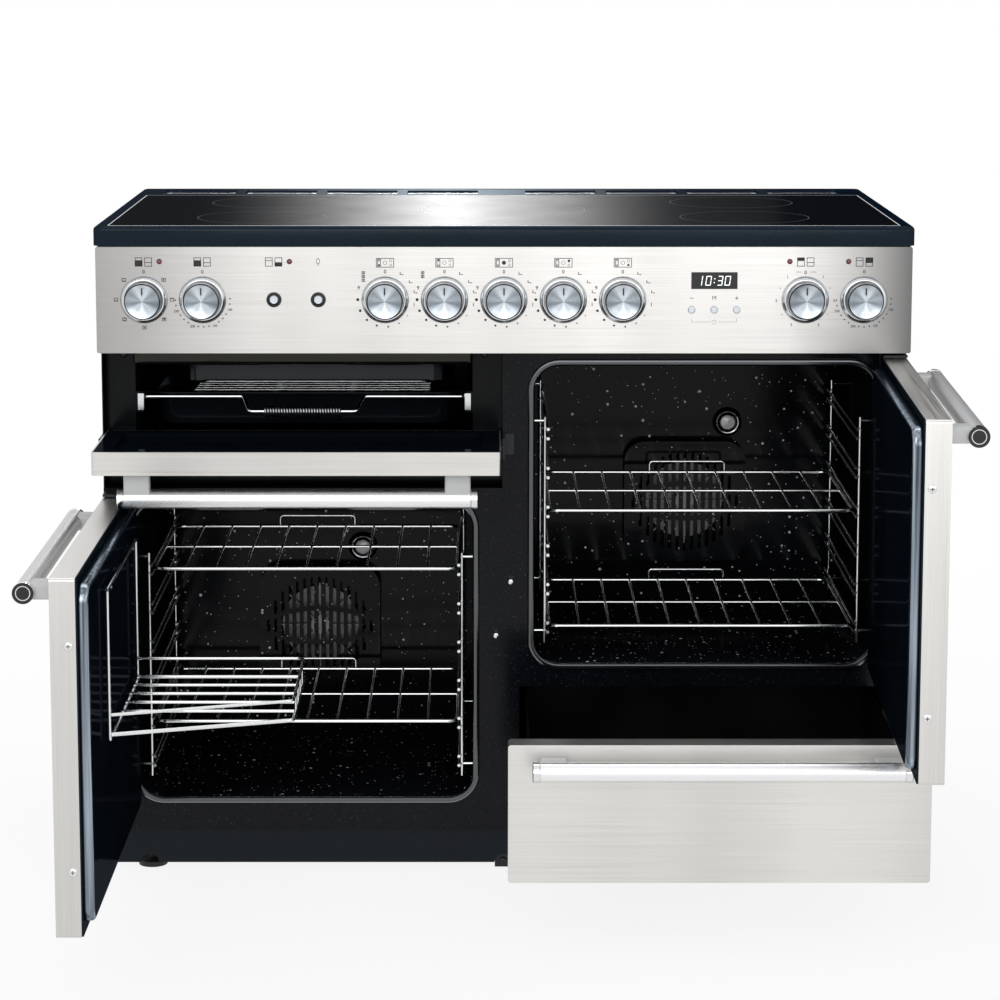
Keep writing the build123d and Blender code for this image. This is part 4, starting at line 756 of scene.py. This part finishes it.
openings = {"left_door": restTurn("left_door_swing", leftOpen),
            "right_door": restTurn("right_door_swing", rightOpen),
            "grill_door": restTurn("grill_door_drop", 90), "drawer": Matrix.Identity(4)}
handleMaster = makeHandle()
for door, opening in openings.items():
    nodeName = door + "_handle"
    low, high = shutBox(nodeName, opening)
    centre = Vector(((low.x + high.x) / 2, high.y - handleLook["reach"], (low.z + high.z) / 2))
    bar = copyOf(handleMaster, opening @ Matrix.Translation(centre))
    bar.name = nodeName + "_polished"
    # the door handles take the darker satin: painted shade
    if door in ("left_door", "right_door"):
        bar.data.materials[0] = shadedDoorSatin
    mount(bar, nodes[nodeName]["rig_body"], [nodeName])
bpy.data.objects.remove(handleMaster)
print("handles done")


# screws, plugs, hinge clips and the tongue behind the plinth

screwLook = {"radius": 5.4 * mm, "rise": 2.0 * mm, "slot": (0.9 * mm, 5.0 * mm),
             "fromEnd": 82 * mm, "inset": 9 * mm}  # places from a door's top and foot, and from its back


def panHead(radius, rise, finish):  # on a face at Y 0 that looks to the front
    outline = [(0, 0), (radius, 0), (radius, -0.35 * rise), (0.86 * radius, -0.75 * rise),
               (0.55 * radius, -rise), (0, -rise)]
    head = dressed(lathe(outline, (0, 0, 0), "Y", 32), finish, 50)
    wide, long = (part * radius / screwLook["radius"] / 2 for part in screwLook["slot"])
    bars = [roundedBlock((-a, -rise - 0.05 * mm, -b), (a, -0.6 * rise, b), 0)
            for a, b in ((wide, long), (long, wide))]
    for bar in bars:
        paint(bar, ink)
    return joined([head, *bars], "panHead")


def screwsAt(name, body, places, radius, rise, finish):
    master = panHead(radius, rise, finish)
    screws = joined([copyOf(master, place) for place in places], name)
    bpy.data.objects.remove(master)
    mount(screws, body)


for door, free, turn in (("left_door", 1, math.pi / 2), ("right_door", 0, -math.pi / 2)):
    skinName = door + "_skin"
    corners = shutBox(skinName, openings[door])
    low, high = corners
    places = [openings[door] @ Matrix.Translation((corners[free].x, high.y - screwLook["inset"], z))
              @ Matrix.Rotation(turn, 4, "Z")  # on the door's free edge
              for z in (low.z + screwLook["fromEnd"], high.z - screwLook["fromEnd"])]
    screwsAt(door + "_screws", nodes[skinName]["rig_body"], places, screwLook["radius"], screwLook["rise"],
             chrome)

hingeLook = {
    "x": 524 * mm,
    "proud": 3 * mm,
    "screwRows": {-1: (104 * mm, 529 * mm), 1: (293 * mm, 718 * mm)},  # each door's lower and upper plate
    "screwAside": 9 * mm,
    "screw": (3.2 * mm, 1.1 * mm),
    "clipInset": 8 * mm,  # yellow retaining clips on the plates, each of two arms
    "clipAside": 14.5 * mm,
    "clipArm": 9 * mm,
    "clipWidth": 2.6 * mm,
    "clipThick": 1.2 * mm,
    "clipRound": 0.5 * mm,
}
grillLook = {"setback": 33.9 * mm, "ends": (-502 * mm, -42 * mm), "thick": 24 * mm, "low": 711 * mm,
             "high": 733.5 * mm, "round": 5 * mm, "plugs": (-518 * mm, -26 * mm), "plugHeight": 723 * mm,
             "plug": (5.5 * mm, 2.0 * mm)}
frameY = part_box("front_frame")[0].y
hingeY = frameY - hingeLook["proud"]
grillFaceY = frameY + grillLook["setback"]
hingeCorners = [(sign * hingeLook["x"], row, up, side) for sign, rows in hingeLook["screwRows"].items()
                for row, up in zip(rows, (1, -1)) for side in (-1, 1)]
hingeScrews = [Matrix.Translation((x + side * hingeLook["screwAside"], hingeY, row))
               for x, row, up, side in hingeCorners]
screwsAt("hinge_screws", "cabinet", hingeScrews, *hingeLook["screw"], gold)
plugs = [Matrix.Translation((x, grillFaceY, grillLook["plugHeight"])) for x in grillLook["plugs"]]
screwsAt("grill_plugs", "cabinet", plugs, *grillLook["plug"], darkZinc)
clips = []
arm, wide = hingeLook["clipArm"], hingeLook["clipWidth"]
for x, row, up, side in hingeCorners:
    corner = x + side * hingeLook["clipAside"]
    z = row + up * hingeLook["clipInset"]
    for x1, z1 in ((corner - side * arm, z - up * wide), (corner - side * wide, z - up * arm)):
        clip = roundedBlock((min(corner, x1), hingeY - hingeLook["clipThick"], min(z, z1)),
                            (max(corner, x1), hingeY, max(z, z1)), hingeLook["clipRound"], 2)
        clips.append(dressed(clip, gold))
mount(joined(clips, "hinge_clips"), "cabinet")

tongueLook = {"half": 11.6 * mm, "thick": 4 * mm, "low": 3 * mm, "high": 70 * mm, "round": 1.2 * mm,
              "bolt": (4.6 * mm, 2.4 * mm), "boltHeight": 13 * mm}
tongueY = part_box("plinth")[1].y  # hangs from the tray's lip behind the plinth's middle notch
tongueFace = tongueY - tongueLook["thick"]
tongue = roundedBlock((-tongueLook["half"], tongueFace, tongueLook["low"]),
                      (tongueLook["half"], tongueY, tongueLook["high"]), tongueLook["round"])
bolt = panHead(*tongueLook["bolt"], rubber)
bolt.data.transform(Matrix.Translation((0, tongueFace, tongueLook["boltHeight"])))
mount(joined([dressed(tongue, darkZinc), bolt], "plinth_tongue"), "cabinet")

backLook = {"columns": (-536 * mm, 536 * mm), "rows": (90 * mm, 350 * mm, 610 * mm, 860 * mm),
            "screw": (4.0 * mm, 1.6 * mm)}
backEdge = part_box("side_panels")[1].y
backTurn = Matrix.Rotation(math.pi, 4, "Z")
backScrews = [Matrix.Translation((x, backEdge, z)) @ backTurn
              for x in backLook["columns"] for z in backLook["rows"]]
screwsAt("back_screws", "cabinet", backScrews, *backLook["screw"], zinc)
print("screws, clips and tongue done")


# deflector over the grill, rings round the oven lamps, grommet in the cable inlet

leftEnd, rightEnd = grillLook["ends"]
deflector = roundedBlock((leftEnd, grillFaceY - grillLook["thick"], grillLook["low"]),
                         (rightEnd, grillFaceY, grillLook["high"]), grillLook["round"], 4)
deflector.name = "grill_deflector"
mount(dressed(deflector, grillEnamel), "cabinet")

lampLook = {"radius": 20 * mm, "depth": 9 * mm, "ring": inMillimetres([
    (10.5, -8.0), (12.5, -9.0), (15.0, -7.2), (16.5, -7.6), (18.5, -5.0), (21.0, -3.2), (22.0, -0.4),
    (20.0, -0.4), (16.0, -3.4), (10.5, -7.0), (10.5, -8.0)])}
lampLow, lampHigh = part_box("oven_lamps")
rings = []
for corner, side in ((lampLow, 1), (lampHigh, -1)):  # one lamp at each corner of their box
    inset = side * lampLook["radius"]
    place = (corner.x + inset, lampLow.y + lampLook["depth"], corner.z + inset)
    rings.append(dressed(lathe(lampLook["ring"], place, "Y", 48), darkChrome, 30))
mount(joined(rings, "oven_lamp_rings"), "cabinet")

grommetLook = {"x": 400 * mm, "z": 150 * mm, "outline": inMillimetres([
    (12, -6), (14, -6), (14, 0), (18, 0.6), (18, 2.2), (16, 3.2), (13, 3.0), (12, 2.0), (12, -6)])}
inlet = (grommetLook["x"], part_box("back_panel")[1].y, grommetLook["z"])
grommet = dressed(lathe(grommetLook["outline"], inlet, "Y", 48), rubber)
grommet.name = "inlet_grommet"
mount(grommet, "cabinet")
print("grill deflector, lamp rings and grommet done")


# printing on the fascia

inkLook = {
    "depth": 0.12 * mm,
    "line": 0.85 * mm,
    "iconRise": 49.4 * mm,
    "zeroRise": 37.2 * mm,
    "bold": 0.018,
    "digit": 6.8 * mm,
    "smallDigit": 4.6 * mm,
    "dotRing": 36.5 * mm,
    "digitRing": 38.5 * mm,
    "under": 0.02 * mm,  # how far the print goes into the steel
}
printed = []


def inkBar(x0, z0, x1, z1):
    printed.append(roundedBlock((x0, faceY - inkLook["depth"], z0), (x1, faceY + inkLook["under"], z1), 0))


def inkFrame(x0, z0, x1, z1):
    line = inkLook["line"]
    inkBar(x0, z0, x0 + line, z1)
    inkBar(x1 - line, z0, x1, z1)
    inkBar(x0 + line, z0, x1 - line, z0 + line)
    inkBar(x0 + line, z1 - line, x1 - line, z1)


def centred(draw, x, z, wide, tall):  # a bar or frame round its middle, by its half sizes
    draw(x - wide, z - tall, x + wide, z + tall)


def inkDot(x, z, radius, hole=0.0):
    under, top = inkLook["under"], -inkLook["depth"]
    outline = [(hole, under), (radius, under), (radius, top), (hole, top)]
    if hole:
        outline.append(outline[0])
    printed.append(lathe(outline, (x, faceY, z), "Y", 20))


def inkText(words, x, z, size, bold=inkLook["bold"]):
    clearSelection()
    bpy.ops.object.text_add(location=(0, 0, 0))
    text = bpy.context.object
    text.data.body = words
    text.data.size = size
    text.data.align_x = "CENTER"
    text.data.align_y = "CENTER"
    text.data.extrude = inkLook["depth"] / 2
    text.data.offset = bold * size
    text.data.resolution_u = 3
    pick(text)
    bpy.ops.object.convert(target="MESH")
    letters = bpy.context.object
    upright = Matrix.Rotation(math.pi / 2, 4, "X")
    letters.data.transform(Matrix.Translation((x, faceY - inkLook["depth"] / 2, z)) @ upright)
    printed.append(letters)


def printOn(name, finish):  # what has been drawn so far becomes one piece
    for mark in printed:
        paint(mark, finish)
    mount(joined(printed, name), "cabinet")
    printed.clear()


def around(centre, degrees, radius):  # clockwise from the top
    angle = math.radians(degrees)
    return centre.x + radius * math.sin(angle), centre.z + radius * math.cos(angle)


ovenSign = {"wide": 10.0 * mm, "tall": 12.0 * mm, "gap": 1.4 * mm, "lift": 1 * mm,
            "splits": {-1: 0.62, 1: 0.40}}
hobSign = {
    "half": (12.0 * mm, 6.3 * mm),
    "ringLine": 0.5,
    "spots": [(-8.0, -3.0, 1.3), (-8.0, 3.0, 1.3), (0.0, 0.0, 2.7), (7.4, 2.6, 1.8),
              (7.4, -3.0, 1.6)],  # across, up and radius in millimetres
    "linked": (-8.0 * mm, 2.4 * mm, 5.0 * mm),  # middle and half sizes of the linked zones' frame
}


def ovenIcon(nodeName, fill):  # two cavities side by side, the one that the dial serves filled in
    centre = dialCentre(nodeName)
    width, tall, gap = ovenSign["wide"], ovenSign["tall"], ovenSign["gap"]
    z0 = centre.z + inkLook["iconRise"] + ovenSign["lift"] - tall / 2
    for side, split in ovenSign["splits"].items():
        x0 = centre.x + (gap if side > 0 else -gap - width)
        inkFrame(x0, z0, x0 + width, z0 + tall)
        inkBar(x0, z0 + split * tall, x0 + width, z0 + split * tall + inkLook["line"])
        if fill == (side, "low"):
            inkBar(x0, z0, x0 + width, z0 + split * tall)
        if fill == (side, "high"):
            inkBar(x0, z0 + split * tall, x0 + width, z0 + tall)
    return centre


def hobIcon(x, z, active):  # the five zones, this dial's own filled in
    centred(inkFrame, x, z, *hobSign["half"])
    for index, (dx, dz, radius) in enumerate(hobSign["spots"]):
        hole = 0.0 if index == active else (radius - hobSign["ringLine"]) * mm
        inkDot(x + dx * mm, z + dz * mm, radius * mm, hole)
    aside, wide, tall = hobSign["linked"]
    centred(inkFrame, x + aside, z, wide, tall)


def inkZero(centre, drop=0.0):
    inkText("0", centre.x, centre.z + inkLook["zeroRise"] - drop, inkLook["digit"])


hobScale = {
    "dials": ("left_front", "left_rear", "centre", "right_rear", "right_front"),
    "lowHeat": (31, 54, 75),  # degrees of the L marks
    "lowHeatRing": 41 * mm,
    "lowHeatStroke": (-1.6 * mm, -1.8 * mm, -0.6 * mm, 2.0 * mm),
    "lowHeatFoot": (-0.6 * mm, -1.8 * mm, 1.2 * mm, -0.9 * mm),
    "lowHeatDot": (2.4 * mm, -1.6 * mm, 0.8 * mm),
    "first": (100, 39 * mm),
    "last": 294,
    "dots": (126, 24, 7),  # start, step and count
    "dotSize": (0.8 * mm, 0.2 * mm),  # the first, and what each next one gains
    "links": {"left_front": 3, "left_rear": 2},  # how many linked-zone marks a dial has
    "linkAside": 29 * mm,
    "linkRise": (36 * mm, 5 * mm),  # the first, and the drop to each next one
    "linkHalf": (2.2 * mm, 2 * mm),
    "linkBar": (0.6 * mm, 1.2 * mm),
}
for order, dial in enumerate(hobScale["dials"]):
    centre = dialCentre(dial + "_hob_knob")
    hobIcon(centre.x, centre.z + inkLook["iconRise"], order)
    inkZero(centre)
    for degrees in hobScale["lowHeat"]:
        x, z = around(centre, degrees, hobScale["lowHeatRing"])
        for left, low, right, high in (hobScale["lowHeatStroke"], hobScale["lowHeatFoot"]):
            inkBar(x + left, z + low, x + right, z + high)
        dotAside, dotRise, dotRadius = hobScale["lowHeatDot"]
        inkDot(x + dotAside, z + dotRise, dotRadius)
    inkText("1", *around(centre, *hobScale["first"]), inkLook["digit"])
    start, turn, count = hobScale["dots"]
    size, gain = hobScale["dotSize"]
    for step in range(count):
        inkDot(*around(centre, start + step * turn, inkLook["dotRing"]), size + gain * step)
    inkText("9", *around(centre, hobScale["last"], inkLook["digitRing"]), inkLook["digit"])
    top, drop = hobScale["linkRise"]
    for row in range(hobScale["links"].get(dial, 0)):
        x, z = centre.x - hobScale["linkAside"], centre.z + top - drop * row
        centred(inkFrame, x, z, *hobScale["linkHalf"])
        centred(inkBar, x, z, *hobScale["linkBar"])

heatScale = {"start": 88, "step": 11.3, "count": 17, "dot": 1.05 * mm,
             "numbers": {2: "100", 6: "150", 10: "200", 14: "250"}}
for nodeName, fill in (("left_oven_temperature_knob", (-1, "low")), ("right_oven_knob", (1, "high"))):
    centre = ovenIcon(nodeName, fill)
    inkZero(centre)
    for step in range(heatScale["count"]):
        degrees = heatScale["start"] + step * heatScale["step"]
        number = heatScale["numbers"].get(step)
        if number:
            inkText(number, *around(centre, degrees, inkLook["digitRing"]), inkLook["smallDigit"])
        else:
            inkDot(*around(centre, degrees, inkLook["dotRing"]), heatScale["dot"])

modeScale = {"count": 7, "step": 45, "ring": 37.4 * mm, "half": (2.8 * mm, 2.4 * mm),
             "bar": 1.6 * mm, "barEdges": (1.0 * mm, 1.5 * mm), "dot": 1.0 * mm,
             "topHeat": (2, 3, 5), "baseHeat": (5, 6, 7), "fan": (1, 3, 4)}
centre = ovenIcon("left_oven_function_knob", (-1, "low"))
inkZero(centre)
near, far = modeScale["barEdges"]
for step in range(1, modeScale["count"] + 1):  # oven modes, each a small box with its own mark
    x, z = around(centre, step * modeScale["step"], modeScale["ring"])
    left, right = x - modeScale["bar"], x + modeScale["bar"]
    centred(inkFrame, x, z, *modeScale["half"])
    if step in modeScale["topHeat"]:
        inkBar(left, z + near, right, z + far)
    if step in modeScale["baseHeat"]:
        inkBar(left, z - far, right, z - near)
    if step in modeScale["fan"]:
        inkDot(x, z, modeScale["dot"])

grillScale = {
    "zeroDrop": 1 * mm,
    "digits": {38: "1", 92: "2", 152: "3"},
    "digit": 5.2 * mm,
    "dots": (65, 123),
    "dot": 0.7 * mm,
    "dashes": {-1: 3, 1: 4},  # half the grill to one side, the whole grill to the other
    "dashAside": (7 * mm, 2.2 * mm),  # the first, and the step to each next one
    "dashRise": 37 * mm,
    "dashHalf": (0.8 * mm, 0.4 * mm),
}
centre = ovenIcon("grill_knob", (-1, "high"))
inkZero(centre, grillScale["zeroDrop"])
start, step = grillScale["dashAside"]
for sign, dashes in grillScale["dashes"].items():
    for degrees, digit in grillScale["digits"].items():
        inkText(digit, *around(centre, sign * degrees, inkLook["digitRing"]), grillScale["digit"])
    for degrees in grillScale["dots"]:
        inkDot(*around(centre, sign * degrees, inkLook["dotRing"]), grillScale["dot"])
    for dash in range(dashes):
        x = centre.x + sign * (start + step * dash)
        centred(inkBar, x, centre.z + grillScale["dashRise"], *grillScale["dashHalf"])

lampSign = {"lift": 2 * mm, "bulb": (2.5 * mm, 1.9 * mm), "stretch": 1.6, "footDrop": 5.05 * mm,
            "footHalf": (1.2 * mm, 0.35 * mm)}  # a long bulb on its foot
ovenIcon("drawer_button", (1, "low"))
signTop = dialCentre("light_button") + Vector((0, 0, inkLook["iconRise"] + lampSign["lift"]))
inkDot(signTop.x, signTop.z, *lampSign["bulb"])
stretch = Matrix.Diagonal((1, 1, lampSign["stretch"], 1))
printed[-1].data.transform(Matrix.Translation(signTop) @ stretch @ Matrix.Translation(-signTop))
centred(inkBar, signTop.x, signTop.z - lampSign["footDrop"], *lampSign["footHalf"])

clockSigns = {
    "drop": 23.4 * mm,
    "stroke": (2.2 * mm, 0.4 * mm),
    "letter": 7.8 * mm,
    "bracketDrop": 55.5 * mm,
    "bracketLine": 0.25 * mm,
    "bracketEnd": 5 * mm,
    "bracketGap": 5 * mm,
    "dial": (3.0 * mm, 2.5 * mm),
    "hand": (0.2 * mm, 1.8 * mm),
}
clockLow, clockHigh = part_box("clock_display")
clockCentre = (clockLow + clockHigh) / 2
signZ = clockCentre.z - clockSigns["drop"]
minusX, modeX, plusX = (dialCentre("clock_" + key + "_button").x for key in ("minus", "mode", "plus"))
strokeLong, strokeThick = clockSigns["stroke"]
centred(inkBar, minusX, signZ, strokeLong, strokeThick)
inkText("M", modeX, signZ, clockSigns["letter"], 0.0)
centred(inkBar, plusX, signZ, strokeLong, strokeThick)
centred(inkBar, plusX, signZ, strokeThick, strokeLong)
printOn("fascia_printing", ink)

bracketZ = clockCentre.z - clockSigns["bracketDrop"]
line, gap = clockSigns["bracketLine"], clockSigns["bracketGap"]
for x0, x1 in ((minusX, modeX - gap), (modeX + gap, plusX)):
    inkBar(x0, bracketZ - line, x1, bracketZ + line)
for x in (minusX, plusX):
    inkBar(x - line, bracketZ + line, x + line, bracketZ + clockSigns["bracketEnd"])
inkDot(modeX, bracketZ, *clockSigns["dial"])
handHalf, handLong = clockSigns["hand"]
inkBar(modeX - handHalf, bracketZ, modeX + handHalf, bracketZ + handLong)
printOn("fascia_pale_printing", paleInk)
print("fascia printing done")


# clock figures, seven bars to a digit, leaning as such displays do

clockLook = {"tall": 13.0 * mm, "wide": 7.4 * mm, "bar": 1.15 * mm, "gap": 0.25 * mm, "lean": 0.14,
             "depth": 0.25 * mm, "soft": 0.2 * mm, "colonHalf": 0.7 * mm, "colonRise": 2.6 * mm,
             "places": {-19.6 * mm: "1", -7.8 * mm: "0", 7.4 * mm: "3", 17.6 * mm: "0"}}
segmentBars = {"1": "bc", "0": "abcdef", "3": "abcdg"}


def segment(letter):  # low and high corners of a bar round the digit's middle
    wide, tall, bar, gap = clockLook["wide"] / 2, clockLook["tall"] / 2, clockLook["bar"], clockLook["gap"]
    left, right = -wide + bar, wide - bar
    return {"a": (left, tall - bar, right, tall), "d": (left, -tall, right, -tall + bar),
            "g": (left, -bar / 2, right, bar / 2), "b": (right, gap, wide, tall - gap),
            "c": (right, -tall + gap, wide, -gap), "e": (-wide, -tall + gap, left, -gap),
            "f": (-wide, gap, left, tall - gap)}[letter]


def lightBar(middle, x0, z0, x1, z1):
    return roundedBlock((middle + x0, clockLow.y - clockLook["depth"], clockCentre.z + z0),
                        (middle + x1, clockLow.y + inkLook["under"], clockCentre.z + z1),
                        clockLook["soft"], 1)


segments = [lightBar(clockCentre.x + offset, *segment(letter))
            for offset, digit in clockLook["places"].items() for letter in segmentBars[digit]]
half = clockLook["colonHalf"]
for rise in (-clockLook["colonRise"], clockLook["colonRise"]):
    segments.append(lightBar(clockCentre.x, -half, rise - half, half, rise + half))
figures = joined(segments, "clock_figures")
for point in figures.data.vertices:
    point.co.x += clockLook["lean"] * (point.co.z - clockCentre.z)
paint(figures, segmentLight)
mount(figures, "cabinet")
print("clock figures done")


# studio: floor, card, world, lamps and camera

studio = {
    "floorSize": 300.0,
    "floorColour": colour(0.94, 0.94, 0.94),
    "floorGlow": (0.88, 1.0),  # beside the cooker and far off
    "floorFade": (0.9, 3.4),
    "ambient": 0.55,
    "lamps": {
        "keyLamp": ((-1.5, -4.3, 3.0), (3.0, 2.6), 46.0),
        "fillLamp": ((3.0, -3.4, 2.0), (2.4, 2.4), 24.0),
        "frontLamp": ((0.2, -5.6, 1.6), (2.8, 1.8), 30.0),
        "topLamp": ((0.0, 0.8, 3.2), (2.4, 1.6), 16.0),
        "rearLamp": ((-0.12, 3.4, 1.36), (1.3, 0.7), 130.0),
    },
    "aim": Vector((0.0, -0.2, 0.5)),
    "card": ((1.9, 2.6, 1.3), (2.5, 2.2)),  # a black card behind to the right, for depth in the metal
}
cameraLook = {"place": (-0.0258, -4.2791, 1.2878), "pitch": 8.418, "lens": 108.37, "sensor": 36,
              "shift": (0.0155, -0.12), "clipEnd": 400}


def rayShare(tree):  # one where the camera, a mirror or glass looks at it
    path = addNode(tree, "LightPath")
    seen = maths(tree, "MAXIMUM", path.outputs["Is Camera Ray"], path.outputs["Is Glossy Ray"])
    return maths(tree, "MAXIMUM", seen, path.outputs["Is Transmission Ray"])


clearSelection()
bpy.ops.mesh.primitive_plane_add(size=studio["floorSize"], location=(0, 0, 0))
floor = bpy.context.object
floor.name = "studioFloor"
floorPaint, tree, surface = shader("studioFloor", {"Base Color": studio["floorColour"], "Roughness": 0.9,
                                                   "Specular IOR Level": 0.0})
lit = addNode(tree, "Emission", feeds={"Color": colour(1, 1, 1), "Strength": 1.0})
away = addNode(tree, "VectorMath", {"operation": "LENGTH"}, {0: objectPlace(tree)}).outputs["Value"]
bright = spread(tree, away, *studio["floorGlow"], *studio["floorFade"])
share = maths(tree, "MULTIPLY", rayShare(tree), bright)
mixShaders(tree, share, surface, lit)
paint(floor, floorPaint)

cardPlace, (cardWide, cardTall) = studio["card"]
clearSelection()
bpy.ops.mesh.primitive_plane_add(size=1, location=cardPlace, rotation=(math.pi / 2, 0, 0))
card = bpy.context.object
card.name = "studioCard"
card.scale = (cardWide, cardTall, 1)
applyPlace(card)
paint(card, shader("studioCard", {"Base Color": colour(0.01, 0.01, 0.01), "Specular IOR Level": 0.0})[0])
card.visible_camera = card.visible_diffuse = card.visible_shadow = False  # only mirrors see it

world = bpy.data.worlds.new("studioWorld")
bpy.context.scene.world = world
world.use_nodes = True
tree = world.node_tree
sky = tree.nodes["Background"]
sky.inputs["Color"].default_value = colour(1, 1, 1)
tree.links.new(spread(tree, rayShare(tree), studio["ambient"], 1.0), sky.inputs["Strength"])

for lampName, (place, size, power) in studio["lamps"].items():
    clearSelection()
    bpy.ops.object.light_add(type="AREA", location=place)
    lamp = bpy.context.object
    lamp.name = lampName
    lamp.data.shape = "RECTANGLE"
    lamp.data.size, lamp.data.size_y = size
    lamp.data.energy = power
    lamp.rotation_euler = (studio["aim"] - Vector(place)).to_track_quat("-Z", "Y").to_euler()
    lamp.visible_camera = False
    if lampName == "rearLamp":  # a softbox that fades to its sides
        lamp.data.use_nodes = True
        tree = lamp.data.node_tree
        across = axes(tree, addNode(tree, "NewGeometry").outputs["Parametric"])[0]
        aside = maths(tree, "ABSOLUTE", spread(tree, across, -1.0, 1.0))
        fade = maths(tree, "POWER", maths(tree, "SUBTRACT", 1.0, aside), 2.0)
        tree.links.new(fade, tree.nodes["Emission"].inputs["Strength"])

clearSelection()
tilt = math.radians(90 - cameraLook["pitch"])
bpy.ops.object.camera_add(location=cameraLook["place"], rotation=(tilt, 0, 0))
camera = bpy.context.object
camera.data.lens = cameraLook["lens"]
camera.data.sensor_width = cameraLook["sensor"]
camera.data.shift_x, camera.data.shift_y = cameraLook["shift"]
camera.data.clip_end = cameraLook["clipEnd"]
bpy.context.scene.camera = camera
bpy.context.scene.view_settings.view_transform = "Standard"
print("studio ready")
